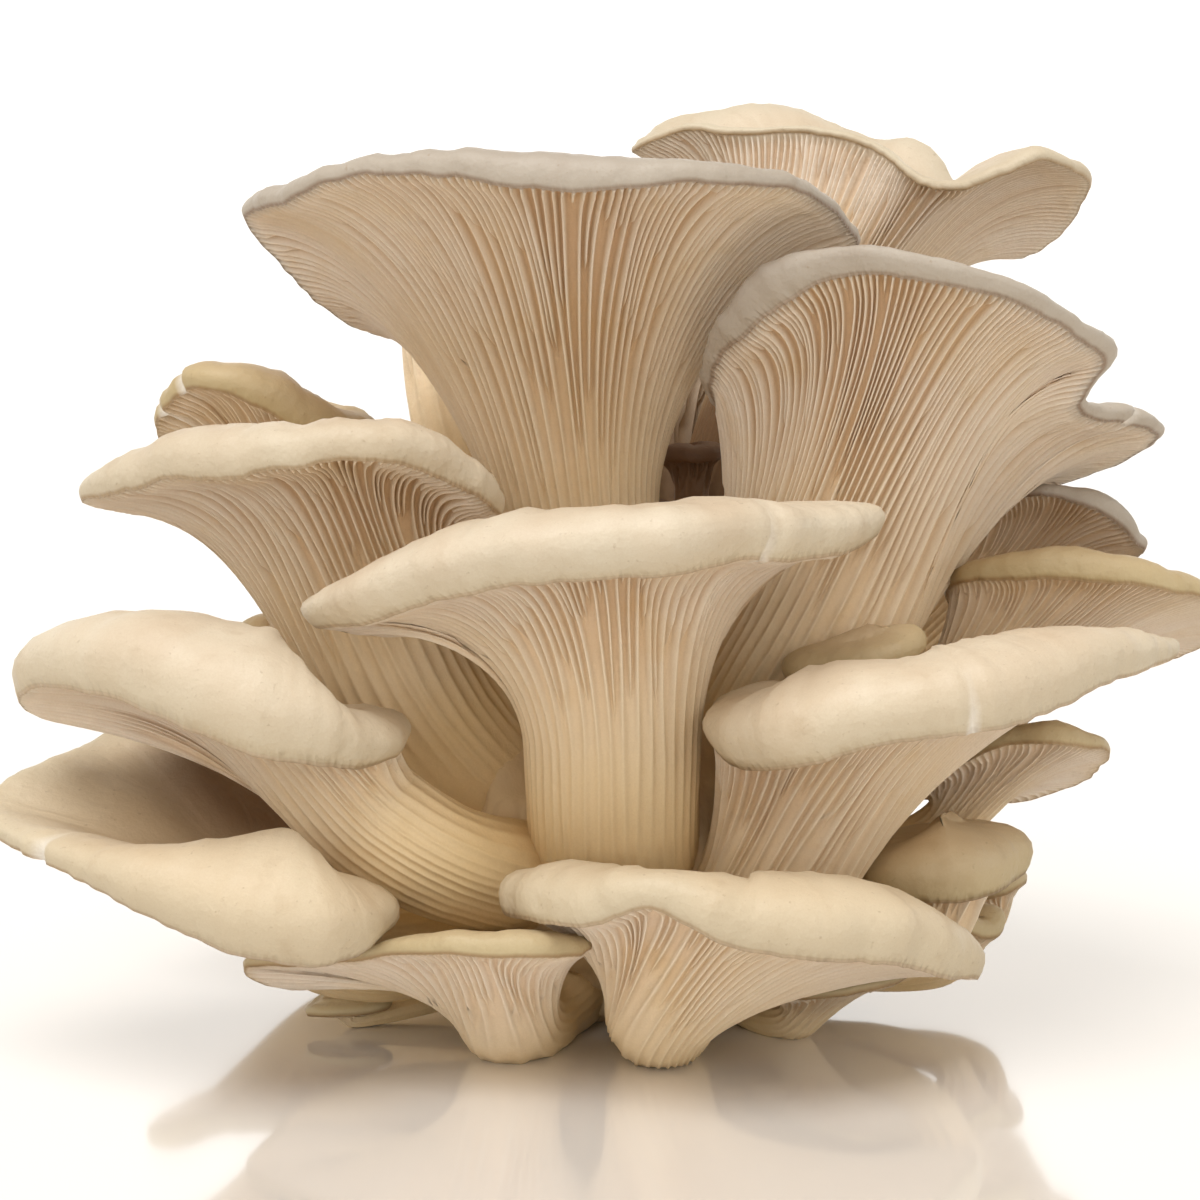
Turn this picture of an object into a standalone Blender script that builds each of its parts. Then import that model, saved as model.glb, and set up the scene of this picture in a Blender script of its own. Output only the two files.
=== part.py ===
"""Oyster mushroom cluster: fruit bodies grown in tiers from one common base.

The cluster stands on the flat cut face of its base, which is centred on the origin.
X runs to the right, Y to the back and Z up. Places below are in millimetres, and the
meshes are in metres. Each mushroom is one closed body: a stem, the gilled underside
that flares out of it, and the skin of the cap, which dips to the cap's heart.
"""
import math

import bmesh
import bpy
import numpy as np

MM = 0.001
CLEARANCE = 0.35

# The base: a lumpy mound of fused stem ends, cut flat below.
BASE_CENTRE = (0, 0, 26)
BASE_HALF_SIZE = (30, 28, 33)
BASE_LUMPS = (
    (-6, -30, 2, 9),
    (-24, -14, 4, 8),
    (24, -14, 6, 6),
    (-4, 0, 34, 7),
    (16, 12, 24, 7),
    (-14, 24, 8, 6),
    (22, 22, 2, 6),
)
LUMP_SHARPNESS = 9.0
BASE_SIDES = 24
BASE_RINGS = 13

# Gills: depth of the grooves in these solids, the share of the flare over which they fade
# at the rim, their depth left at the neck, the width of a gill that has the full depth, and
# the step along the flare over which its slope is taken.
GILL_DEPTH = 1.5
GILL_FADE_AT_RIM = 0.16
GILL_LEFT_AT_NECK = 0.62
FULL_GILL_WIDTH = 4.0
SLOPE_STEP = 0.02

# The cap's section: the flesh's thickness, the roll of the skin over the rim, and how far
# the curves of the underside and of the hollow on top are drawn out at their ends. At the
# rim the underside is drawn in by a share of its reach, at most of OVERHANG plus
# SIDEWAYS_REACH times the way that the rim stands out from the neck.
FLESH = 4.0
LEAST_FLESH = 3.2
APART_ROUNDS = 3
HOLLOW_UNDER_CREST = 0.95
SKIN_RISE = 1.12
SKIN_SHOULDER = 0.95
SKIN_ROLL = 0.30
PULLS = (0.42, 0.34)
DISH_PULLS = (0.30, 0.35)
SIDEWAYS_REACH = 2.2
OVERHANG = 6.0

# How the gills spread round the neck: the share of even spacing, and the least and the most
# spacing as shares of the even one.
EVEN_SPREAD = 0.45
LEAST_SPREAD = 0.3
MOST_SPREAD = 1.9
STEM_STEPS = 41
CURVE_STEPS = 32
MOSTLY = 0.8

# Small caps that are waved ovals.
OVAL_POINTS = 12
OVAL_SWELL = 0.07
OVAL_TWIST = 1.7

# Rows of points along a mushroom's section; small ones have fewer.
SMALL_GILLS = 12
STEM_ROWS = {"large": (0.0, 0.35, 0.7), "small": (0.0, 0.55)}
FLARE_ROWS = {"large": (0.0, 0.2, 0.42, 0.64, 0.84, 1.0), "small": (0.0, 0.35, 0.75, 1.0)}
DISH_ROWS = {"large": (0.4, 0.75), "small": (0.5,)}
ROLL_ANGLES = (38, 90)

SHARP_EDGE = math.radians(50)

SKIN_TONES = {
    "pale": (0.80, 0.69, 0.53),
    "warm": (0.76, 0.62, 0.43),
    "grey": (0.66, 0.58, 0.48),
}
FLESH_ROUGHNESS = 0.55


def oval_rim(centre, half_width, half_depth, rise_right, rise_back, crest, waves, wave, turn):
    """Rim of a cap that is a waved oval, listed counterclockwise from above."""
    points = []
    for step in range(OVAL_POINTS):
        angle = 2 * math.pi * step / OVAL_POINTS
        swell = 1 + OVAL_SWELL * math.cos(waves * angle + turn)
        right = half_width * swell * math.cos(angle)
        back = half_depth * swell * math.sin(angle)
        lift = rise_right * right / half_width + rise_back * back / half_depth
        lift += wave * math.sin(waves * angle + OVAL_TWIST * turn)
        points.append((centre[0] + right, centre[1] + back, centre[2] + lift, crest))
    return points


# Each mushroom: the rim of its cap as x, y, z and the height of the skin above the rim,
# the heart of the cap, the root, bend and neck of its stem, and the radii at root and neck.
MUSHROOMS = {
    "mushroom_top_left": dict(
        rim=[
            (-65, -2, 133.5, 3), (-57.5, -22, 137.5, 3.5), (-46.5, -36, 142.5, 3.5), (-33, -44, 143, 4.2),
            (-20, -48, 141.5, 5.5), (-8.5, -49, 140.5, 6.5), (2.5, -48, 142, 5), (16, -43, 141.5, 3.5),
            (26, -34, 140, 2.8), (34, -18, 134, 2.5), (37, -4, 129.5, 2.5), (34, 9, 130, 3),
            (24, 22, 130, 3), (9, 31, 127, 3), (-9.5, 36, 120, 3), (-27, 37, 113, 3),
            (-42, 32, 111, 3), (-55.5, 12, 120, 3),
        ],
        heart=(-12, 0, 115), root=(-4, 3, 44), bend=(-7, 6, 62), neck=(-9.5, 6, 80),
        radii=(14, 13.8), gills=26, tone="grey", pulls=(0.30, 0.32),
    ),
    "mushroom_top_right": dict(
        rim=[
            (17, 5, 97.5, 2), (12.5, -8, 105, 3), (13, -18, 111.5, 4), (17, -26, 116, 6),
            (23.5, -34, 122, 7.5), (30.5, -38, 126, 5.5), (38.5, -40, 127, 4.5), (49.5, -40, 125.5, 4),
            (61.5, -36, 122, 3.5), (71, -28, 116.5, 3), (77, -18, 111, 3), (73.5, -12.5, 103.5, 2),
            (77.5, -5, 100.5, 3), (83.5, 0, 99.5, 3), (89.5, 8, 96.5, 2), (86.5, 18, 91.5, 2),
            (80, 26, 87.5, 2.5), (67, 30, 83.5, 3), (52.5, 32, 86, 3), (38, 30, 91.5, 3),
            (25.5, 20, 95.5, 3),
        ],
        heart=(42, -4, 97), root=(12, -2, 36), bend=(18, -3, 46), neck=(26.5, -5, 60),
        radii=(15, 17), gills=25, tone="grey", pulls=(0.30, 0.34), roll=0.8,
    ),
    "mushroom_front_centre": dict(
        rim=[
            (-51, -48, 71.5, 5), (-44.5, -60, 73.5, 8), (-33.5, -70, 78, 9.6), (-21.5, -76, 81.5, 10),
            (-7.5, -78, 83, 10.3), (6, -76, 83.5, 10.8), (16, -70, 85, 9.8), (25, -62, 84, 9.6),
            (34.5, -50, 84, 8), (38.5, -41, 86, 5), (33, -35, 86, 4), (22, -29, 84, 4),
            (2, -17, 80.5, 4), (-17.5, -20, 73, 4), (-31, -30, 69, 3), (-43, -42, 69.5, 3),
        ],
        heart=(-4, -38, 73), root=(-3, -6, 26), bend=(-4, -36, 29), neck=(-4, -38, 50),
        radii=(13, 14.3), gills=24, tone="pale", pulls=(0.40, 0.48), roll=0.5,
    ),
    "mushroom_mid_left": dict(
        rim=[
            (-91.5, -22, 88.5, 3.5), (-83, -34, 91.5, 6.5), (-74, -42, 94.5, 8), (-64.5, -47, 95, 8.5),
            (-53.5, -51, 97.5, 7), (-41.5, -51, 98.5, 6.5), (-33, -46, 96, 8), (-26, -38, 91, 7),
            (-22.5, -28, 86.5, 4), (-26, -12, 85, 3), (-40, 4, 87.5, 3), (-57.5, 8, 88.5, 3),
            (-70.5, 4, 86.5, 3), (-79, -6, 85.5, 3), (-87.5, -14, 86.5, 3),
        ],
        heart=(-50, -20, 83), root=(-12, -4, 30), bend=(-32, -10, 44), neck=(-40, -12, 61),
        radii=(13, 16), gills=23, tone="pale", pulls=(0.45, 0.45),
    ),
    "mushroom_back_left": dict(
        rim=[
            (-82.5, 20, 94.5, 3), (-80.5, 8, 101, 3.5), (-75.5, 2, 105, 4), (-69.5, 0, 104.5, 5),
            (-63, 0, 101.5, 7), (-57, 4, 97, 8), (-50, 12, 93.5, 7), (-45.5, 25, 93, 5),
            (-52.5, 42, 96, 3), (-65.5, 48, 98, 3), (-77.5, 42, 97.5, 3), (-82, 32, 95, 3),
        ],
        heart=(-64, 24, 91), root=(-12, 10, 38), bend=(-46, 24, 52), neck=(-58, 26, 74),
        radii=(8, 8.5), gills=16, tone="warm",
    ),
    "mushroom_front_left": dict(
        rim=[
            (-100.5, -38, 58, 7.5), (-94.5, -50, 62, 11), (-84.5, -60, 62.5, 13), (-73.5, -67, 59.5, 14.5),
            (-61.5, -70, 55.5, 16), (-50.5, -68, 52.5, 13.5), (-42, -60, 51, 8.5), (-38, -49, 52, 5),
            (-38.5, -38, 52.5, 3.5), (-50, -31, 53, 4), (-66, -22, 57, 4), (-81.5, -22, 53, 4),
            (-92, -24, 53, 3), (-98.5, -30, 54.5, 3),
        ],
        heart=(-64, -44, 52), root=(-10, -12, 26), bend=(-25, -42, 26), neck=(-42, -43, 39),
        radii=(9, 10), gills=20, tone="pale", pulls=(0.34, 0.52), clear_of=("mushroom_front_centre",),
    ),
    "mushroom_low_left": dict(
        rim=[
            (-107.5, -35, 39, 2.5), (-98.5, -52, 36, 3.5), (-87, -62, 33, 5.5), (-74.5, -70, 28.5, 10),
            (-63.5, -74, 24.5, 13.5), (-52.5, -74, 22.5, 13.5), (-44.5, -68, 22.5, 10.5),
            (-39.5, -58, 24.5, 6), (-40.5, -46, 25, 3.5), (-43, -35, 26, 3), (-51, -22, 32, 3),
            (-67, -9, 41, 3), (-82.5, -5, 49, 2), (-91.5, -12, 45.5, 2), (-98.5, -22, 43.5, 2.5),
        ],
        heart=(-60, -40, 26), root=(-10, -6, 18), bend=(-44, -28, 9), neck=(-53, -37, 18),
        radii=(8, 7), gills=20, tone="pale", clear_of=("mushroom_front_left",),
    ),
    "mushroom_bottom_left": dict(
        rim=[
            (-63.5, -50, 16.5, 2), (-53.5, -57, 18.5, 2), (-42.5, -63, 21, 2.5), (-31, -70, 23.5, 3.5),
            (-19, -73, 23, 4), (-11.5, -69, 22.5, 4), (-7.5, -60, 21.5, 3), (-8.5, -48, 18.5, 3),
            (-14, -38, 17, 2.2), (-26, -36, 16.5, 2), (-40, -36, 13.5, 2), (-52, -41, 11.5, 2),
            (-60, -45.5, 12.5, 2),
        ],
        heart=(-30, -56, 17), root=(-7, -8, 10), bend=(-19, -34, 0), neck=(-21, -44, 8),
        radii=(7, 8.5), gills=17, tone="warm", pulls=(0.2, 0.34),
        clear_of=("mushroom_bottom_right", "mushroom_low_left"),
    ),
    "mushroom_bottom_right": dict(
        rim=[
            (-21.5, -52, 26.8, 5), (-18.5, -66, 28, 9), (-9, -76, 29, 9), (-2.5, -80, 31.5, 7.5),
            (1.5, -81, 33, 5.5), (7, -82, 31, 8), (14, -82, 27, 10), (24.5, -80, 24.5, 11),
            (37.5, -74, 22.5, 11), (49, -61, 17.5, 10.5), (54.5, -48, 14.5, 6), (51, -40, 15, 3),
            (40.5, -40, 16, 3), (23.5, -46, 19.6, 3), (6.5, -49.5, 25, 4), (-7.5, -50.5, 26.5, 3),
            (-18, -47, 26.5, 3),
        ],
        heart=(14, -65, 22.5), root=(5, -10, 13), bend=(3, -38, 2), neck=(4, -49, 9.5),
        radii=(7, 9.2), gills=20, tone="pale", pulls=(0.2, 0.34),
    ),
    "mushroom_bottom_small": dict(
        rim=[
            (18.5, -33, 8, 1.8), (24, -41, 9, 2), (31, -45, 10.5, 2), (39, -45, 12, 2),
            (45, -37, 12.5, 2), (43, -28, 11.5, 2), (35, -23, 10, 2), (27, -22, 8.5, 1.8),
            (20.5, -27, 8, 1.5),
        ],
        heart=(32, -33, 11), root=(8, -4, 8), bend=(24, -26, 0), neck=(27, -29, 4),
        radii=(4.5, 3.8), gills=10, tone="warm",
    ),
    "mushroom_front_right": dict(
        rim=[
            (12, -42, 54, 5), (14, -56, 51, 9.5), (21.5, -66, 51.5, 12.5), (31, -70, 54.5, 11.8),
            (42, -70, 57, 10.5), (53.5, -68, 58, 11.8), (63, -62, 59.5, 11.5), (73.5, -52, 62.5, 9.5),
            (82.5, -40, 63.5, 6.5), (89, -26, 63.5, 3), (86, -13, 62, 3), (73.5, -8, 59, 3),
            (58, -12, 56, 4), (43.5, -22, 54, 4), (30.5, -26, 54, 4), (18, -31, 54, 5.5),
        ],
        heart=(42, -42, 50), root=(8, -6, 24), bend=(16.5, -26, 17), neck=(20.5, -30, 24),
        radii=(9, 12), gills=22, tone="pale", pulls=(0.36, 0.34),
        clear_of=("mushroom_front_centre", "mushroom_bottom_right"),
    ),
    "mushroom_bud_right": dict(
        rim=oval_rim((36, -28, 62), 10.5, 6.5, 2.5, 0.5, 4.6, 2, 0.5, 0.6),
        heart=(38, -28, 69.3), root=(25, -12, 48), bend=(32, -24, 51), neck=(34.5, -27, 56.5),
        radii=(4, 3.5), gills=8, tone="warm", clear_of=("mushroom_top_right", "mushroom_front_right"),
    ),
    "mushroom_side_right": dict(
        rim=[
            (53, 2, 70.5, 3), (59.5, -8, 73.5, 5), (70.5, -14, 74.5, 7), (82, -15, 74, 6),
            (93, -10, 71.5, 4), (101, 2, 67, 3), (103, 16, 61, 2.5), (97, 25, 56, 2.5),
            (84, 28, 54, 3), (70, 23, 57, 3), (58.5, 13, 63, 3),
        ],
        heart=(76, 6, 60), root=(14, 3, 34), bend=(36, 4, 36), neck=(52, 5, 47),
        radii=(9, 9), gills=18, tone="warm", clear_of=("mushroom_top_right",),
    ),
    "mushroom_side_right_back": dict(
        rim=[
            (56.5, 24, 77, 2), (63.5, 15, 84, 2), (72, 10, 85.5, 2.5), (80.5, 9, 82.5, 4),
            (87.5, 14, 76.5, 3), (88.5, 28, 73, 3), (79.5, 42, 71, 3), (65.5, 43, 72, 3),
            (57, 35, 74, 3),
        ],
        heart=(71, 27, 70), root=(12, 12, 40), bend=(34, 26, 44), neck=(50, 33, 58),
        radii=(7, 6.5), gills=14, tone="grey",
        clear_of=("mushroom_top_back", "mushroom_top_right", "mushroom_side_right"),
    ),
    "mushroom_side_right_low": dict(
        rim=[
            (47, -10, 39, 2.5), (55, -14, 43.5, 3), (63, -20, 48, 3.5), (70, -24, 48, 5),
            (78, -18, 46.5, 3), (79, -6, 41.5, 2), (75.5, 3, 36.5, 2), (65.5, 5, 33.5, 2),
            (55, 4, 33.5, 2), (47, 0, 35, 2),
        ],
        heart=(65, -8, 42), root=(13, 0, 21), bend=(47, -1, 22), neck=(54, -4, 32),
        radii=(5.5, 5), gills=12, tone="warm", clear_of=("mushroom_side_right",),
    ),
    "mushroom_low_right": dict(
        rim=[
            (38.5, -30, 24.5, 7), (44, -36, 24.5, 9), (51, -37, 24.5, 10.5), (59.5, -31, 25, 9.5),
            (64.5, -21, 26.5, 8), (61.5, -13, 27, 7), (54, -10, 27, 7), (45, -12, 26, 7),
            (39, -20, 24.5, 7),
        ],
        heart=(52, -22, 37), root=(11, -4, 14), bend=(42, -17, 8), neck=(49.5, -21, 17),
        radii=(6.5, 6), gills=12, tone="warm", clear_of=("mushroom_front_right", "mushroom_side_right_low"),
    ),
    "mushroom_bud_low_1": dict(
        rim=oval_rim((55, -14, 14), 6.5, 7, 1, -1, 3.5, 3, 1.0, 0.3),
        heart=(55, -14, 18.5), root=(12, 2, 8), bend=(49, -9, 3.5), neck=(53.5, -13, 9),
        radii=(3.5, 3), gills=8, tone="warm", clear_of=("mushroom_low_right",),
    ),
    "mushroom_bud_low_2": dict(
        rim=oval_rim((62, 2, 18), 5, 6, 1, -1, 3, 2, 0.6, 1.3),
        heart=(62, 2, 22), root=(12, 6, 12), bend=(56, 5, 6), neck=(61, 2.5, 13),
        radii=(3, 2.6), gills=7, tone="warm", clear_of=("mushroom_side_right_low",),
    ),
    "mushroom_top_back": dict(
        rim=[
            (0, 62, 142.5, 1.5), (8.5, 54, 146.5, 1.3), (19, 52, 146, 1.2), (30.5, 50, 146.5, 1.2),
            (42, 42, 143.5, 1.5), (49.5, 31, 138.5, 2), (56.5, 26, 137, 2), (63.5, 25.5, 140, 2),
            (70.5, 27, 142, 2), (79, 36, 139.5, 2), (80.5, 44, 135, 2), (78, 52, 129, 2),
            (71, 60, 123.5, 2), (65, 67, 125.5, 2), (60, 74, 133, 2), (54, 80, 141, 2.2),
            (46, 83, 142, 2.2), (38, 85, 144.5, 2.2), (27.5, 86, 148, 2), (15.5, 82, 148, 2),
            (5, 74, 145.5, 2),
        ],
        heart=(39, 57, 125), root=(8, 16, 50), bend=(13, 39, 66), neck=(25.5, 50, 97),
        radii=(10, 12.5), gills=22, tone="pale", clear_of=("mushroom_top_left", "mushroom_top_right"),
    ),
    "mushroom_back_tall": dict(
        rim=oval_rim((-24, 68, 124), 23, 21, -2, -3, 3.5, 3, 2.0, 0.9),
        heart=(-24, 67, 117), root=(-7, 16, 50), bend=(-24, 34, 68), neck=(-32, 48, 96),
        radii=(8, 8), gills=12, tone="grey", clear_of=("mushroom_top_left", "mushroom_top_back"),
    ),
    "mushroom_bud_left": dict(
        rim=oval_rim((-61, 20, 57), 9, 8, -1, 1, 4.5, 3, 0.8, 0.4),
        heart=(-61, 20, 59), root=(-14, 10, 28), bend=(-40, 16, 32), neck=(-54, 19, 47),
        radii=(4, 4), gills=9, tone="warm", clear_of=("mushroom_back_left",),
    ),
    "mushroom_bud_floor": dict(
        rim=oval_rim((-48, -22, 3.4), 7, 6, 0.6, 0.2, 1.7, 3, 0.2, 0.9),
        heart=(-48, -22, 6), root=(-10, -4, 8), bend=(-47, -21.5, 0), neck=(-48, -22, 1.6),
        radii=(2.4, 1.2), gills=8, tone="warm",
    ),
    "bud_inner_1": dict(
        rim=oval_rim((10, 26, 90), 5, 4.5, 0.5, -0.5, 3, 2, 0.3, 0.3),
        heart=(10, 26, 92.5), root=(4, 12, 50), bend=(8, 26, 62), neck=(10, 26, 84),
        radii=(3.5, 3), gills=7, tone="grey",
        clear_of=("mushroom_top_back", "mushroom_top_left", "mushroom_rear_mid"),
    ),
    "bud_inner_2": dict(
        rim=oval_rim((2, 32, 80), 4.5, 4, -0.5, 0.5, 2.5, 3, 0.3, 0.8),
        heart=(2, 32, 82), root=(-2, 14, 50), bend=(0, 30, 58), neck=(2, 32, 74),
        radii=(3.2, 2.8), gills=7, tone="grey",
        clear_of=(
            "mushroom_top_left", "mushroom_rear_mid", "mushroom_back_tall", "mushroom_top_back",
            "bud_inner_1",
        ),
    ),
    "mushroom_rear_mid": dict(
        rim=oval_rim((2, 68, 104), 22, 17, 2, -4, 4, 3, 2.0, 0.2),
        heart=(2, 66, 98), root=(1, 12, 42), bend=(4, 40, 52), neck=(3, 52, 78),
        radii=(9, 9), gills=12, tone="pale", clear_of=("mushroom_back_tall", "mushroom_top_back"),
    ),
    "mushroom_rear_left": dict(
        rim=oval_rim((-46, 56, 48), 27, 21, -4, -4, 4, 3, 2.0, 1.2),
        heart=(-44, 54, 42), root=(-10, 12, 28), bend=(-24, 32, 22), neck=(-34, 42, 30),
        radii=(8.5, 9), gills=13, tone="pale",
    ),
    "mushroom_rear_right": dict(
        rim=oval_rim((50, 55, 42), 27, 21, 4, -4, 4, 3, 2.0, 2.0),
        heart=(48, 53, 36), root=(12, 10, 26), bend=(26, 30, 20), neck=(37, 41, 26),
        radii=(8.5, 9), gills=13, tone="pale",
    ),
    "mushroom_rear_low": dict(
        rim=oval_rim((2, 68, 26), 26, 19, 0, -4, 4, 3, 1.6, 0.7),
        heart=(2, 66, 21), root=(1, 12, 16), bend=(2, 34, 10), neck=(2, 48, 13),
        radii=(8, 8.5), gills=12, tone="warm",
    ),
    "mushroom_left_low_back": dict(
        rim=oval_rim((-63, 24, 24), 22, 19, -3, 2, 4, 3, 1.6, 2.6),
        heart=(-61, 24, 19), root=(-12, 4, 16), bend=(-45, 18, 5), neck=(-54, 22, 12),
        radii=(7, 7), gills=12, tone="warm",
    ),
}


def unit(vectors):
    """Vectors scaled to length one."""
    return vectors / np.maximum(np.linalg.norm(vectors, axis=-1, keepdims=True), 1e-9)


def bezier(p0, p1, p2, p3, t):
    """Cubic curve from p0 to p3."""
    s = 1 - t
    return s ** 3 * p0 + 3 * s * s * t * p1 + 3 * s * t * t * p2 + t ** 3 * p3


def rim_curve(points, count):
    """Closed smooth curve through the points, resampled at even lengths."""
    here = np.array(points, float)
    before, after, beyond = np.roll(here, 1, 0), np.roll(here, -1, 0), np.roll(here, -2, 0)

    def spacing(a, b):
        return np.linalg.norm((b - a)[:, :3], axis=1)[:, None] ** 0.5

    d0, d1, d2 = spacing(before, here), spacing(here, after), spacing(after, beyond)
    leave = d1 * ((here - before) / d0 - (after - before) / (d0 + d1) + (after - here) / d1)
    arrive = d1 * ((after - here) / d1 - (beyond - here) / (d1 + d2) + (beyond - after) / d2)
    fine = np.linspace(0, 1, CURVE_STEPS, endpoint=False)
    rows = [bezier(here, here + leave / 3, after - arrive / 3, after, t) for t in fine]
    dense = np.stack(rows, axis=1).reshape(-1, 4)
    loop = np.vstack([dense, dense[:1]])
    length = np.concatenate([[0], np.cumsum(np.linalg.norm(np.diff(loop[:, :3], axis=0), axis=1))])
    marks = np.linspace(0, length[-1], count, endpoint=False)
    return np.stack([np.interp(marks, length, loop[:, k]) for k in range(4)], axis=1)


def facing(rim):
    """The direction that a closed ring of points faces."""
    following = np.roll(rim, -1, 0)
    return unit(np.cross(rim, following).sum(axis=0))


class Stem:
    """The stem's middle line, with a frame that doesn't twist."""

    def __init__(self, plan):
        self.root, self.bend, self.neck = (np.array(plan[k], float) for k in ("root", "bend", "neck"))
        self.radii = plan["radii"]
        self.steps = np.linspace(0, 1, STEM_STEPS)
        self.axis = unit(np.array([self.heading(s) for s in self.steps]))
        side = np.zeros_like(self.axis)
        mostly_x = abs(self.axis[-1][0]) > MOSTLY
        start = np.array((0.0, 1.0, 0.0)) if mostly_x else np.array((1.0, 0.0, 0.0))
        side[-1] = unit(start - self.axis[-1] * (start @ self.axis[-1]))
        for k in range(len(self.steps) - 2, -1, -1):
            side[k] = unit(side[k + 1] - self.axis[k] * (side[k + 1] @ self.axis[k]))
        self.side = side

    def heading(self, s):
        return (1 - s) * (self.bend - self.root) + s * (self.neck - self.bend)

    def ring(self, s, angles, scale=1.0):
        """Points round the stem at s, from 0 at the root to 1 at the neck."""
        middle = (1 - s) ** 2 * self.root + 2 * s * (1 - s) * self.bend + s * s * self.neck
        k = int(round(s * (len(self.steps) - 1)))
        across = np.cross(self.axis[k], self.side[k])
        radius = scale * (self.radii[0] + (self.radii[1] - self.radii[0]) * s)
        spokes = np.cos(angles)[:, None] * self.side[k] + np.sin(angles)[:, None] * across
        return middle + radius * spokes

    def spread(self, rim):
        """Angle round the neck for each point of the rim, always turning one way."""
        across = np.cross(self.axis[-1], self.side[-1])
        out = rim - self.neck
        seen = np.unwrap(np.arctan2(out @ across, out @ self.side[-1]))
        steps = np.diff(np.append(seen, seen[0] + 2 * math.pi))
        even = 2 * math.pi / len(rim)
        steps = (1 - EVEN_SPREAD) * steps + EVEN_SPREAD * even
        steps = np.clip(steps, LEAST_SPREAD * even, MOST_SPREAD * even)
        steps *= 2 * math.pi / steps.sum()
        return seen[0] + np.concatenate([[0], np.cumsum(steps)[:-1]])


def gill_fade(row):
    """How deep the gills are along the flare, from 0 at the neck to 1 at the rim."""
    edge = min(1.0, (1 - row) / GILL_FADE_AT_RIM)
    return edge * (GILL_LEFT_AT_NECK + (1 - GILL_LEFT_AT_NECK) * row)


def keep_apart(points, below, inward, least):
    """Moves points of the skin away from the underside where the flesh is too thin."""
    for _ in range(APART_ROUNDS):
        gaps = points[:, None, :] - below[None, :, :]
        nearest = (gaps ** 2).sum(axis=2).argmin(axis=1)
        gap = (gaps[np.arange(len(points)), nearest] * inward[nearest]).sum(axis=1)
        points = points + np.maximum(0.0, least - gap)[:, None] * inward[nearest]
    return points


def mushroom_rings(plan):
    """Rings of points from the root over the rim to the heart of the cap."""
    count = 2 * plan["gills"]
    curve = rim_curve(plan["rim"], count)
    rim, crest = curve[:, :3], curve[:, 3:]
    up = facing(rim)
    heart = np.array(plan["heart"], float)
    stem = Stem(plan)
    angles = stem.spread(rim)
    along = unit(np.roll(rim, -1, 0) - np.roll(rim, 1, 0))
    radial = rim - heart
    radial = unit(radial - (radial @ up)[:, None] * up)
    out = unit(np.cross(along, up) + radial)
    lift = unit(up - along * (along @ up)[:, None])

    neck = stem.ring(1.0, angles)
    reach = np.linalg.norm(rim - neck, axis=1)[:, None]
    concave = HOLLOW_UNDER_CREST * np.maximum(0.0, crest - FLESH)
    neck_pull, rim_pull = plan.get("pulls", PULLS)
    leave = neck + stem.axis[-1] * neck_pull * reach
    sideways = np.maximum(0.0, ((rim - neck) * out).sum(axis=1))[:, None]
    drawn_in = rim_pull * np.minimum(reach, OVERHANG + SIDEWAYS_REACH * sideways)
    arrive = rim - out * drawn_in + lift * concave

    size = "small" if plan["gills"] <= SMALL_GILLS else "large"
    rings = [stem.ring(s, angles[::2]) for s in STEM_ROWS[size]]
    ridge = np.where(np.arange(count) % 2 == 0, 0.5, -0.5)[:, None] * GILL_DEPTH
    underside, inward = [], []
    for row in FLARE_ROWS[size]:
        smooth = bezier(neck, leave, arrive, rim, row)
        ahead = bezier(neck, leave, arrive, rim, min(1.0, row + SLOPE_STEP))
        behind = bezier(neck, leave, arrive, rim, max(0.0, row - SLOPE_STEP))
        round_way = np.roll(smooth, -1, 0) - np.roll(smooth, 1, 0)
        outward = unit(np.cross(round_way, ahead - behind))
        underside.append(smooth)
        inward.append(-outward)
        room = np.minimum(1.0, np.linalg.norm(round_way, axis=1)[:, None] / FULL_GILL_WIDTH)
        rings.append(smooth + outward * ridge * gill_fade(row) * room)

    half_rim, half_crest = rim[::2], SKIN_RISE * crest[::2]
    half_out, half_lift = out[::2], lift[::2]
    for angle in ROLL_ANGLES:
        a = math.radians(angle)
        bulge = plan.get("roll", SKIN_ROLL) * math.sin(2 * a)
        tuck = SKIN_SHOULDER * (1 - math.cos(a)) - bulge
        rings.append(half_rim + half_crest * (half_lift * math.sin(a) - half_out * tuck))
    shoulder = rings[-1]
    inside = np.linalg.norm(shoulder - heart, axis=1)[:, None]
    flat = unit((shoulder - heart) - ((shoulder - heart) @ up)[:, None] * up)
    below, inward = np.vstack(underside), np.vstack(inward)
    leave = shoulder - half_out * DISH_PULLS[0] * inside
    arrive = heart + flat * DISH_PULLS[1] * inside
    for row in DISH_ROWS[size]:
        dish = bezier(shoulder, leave, arrive, heart, row)
        rings.append(keep_apart(dish, below, inward, LEAST_FLESH))
    return rings, stem.root, keep_apart(heart[None, :], below, inward, LEAST_FLESH)[0]


def stitch(faces, first, second):
    """Triangles between two rings of vertex numbers, alike or one twice as fine."""
    fine, coarse, flip = (first, second, False) if len(first) >= len(second) else (second, first, True)
    ratio = len(fine) // len(coarse)
    made = []
    for i in range(len(coarse)):
        a, b = coarse[i], coarse[(i + 1) % len(coarse)]
        chain = [fine[(i * ratio + k) % len(fine)] for k in range(ratio + 1)]
        middle = (ratio + 1) // 2
        for k in range(ratio):
            made.append((chain[k], chain[k + 1], a if k < middle else b))
        made.append((a, chain[middle], b))
    faces += [face[::-1] for face in made] if flip else made


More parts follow.
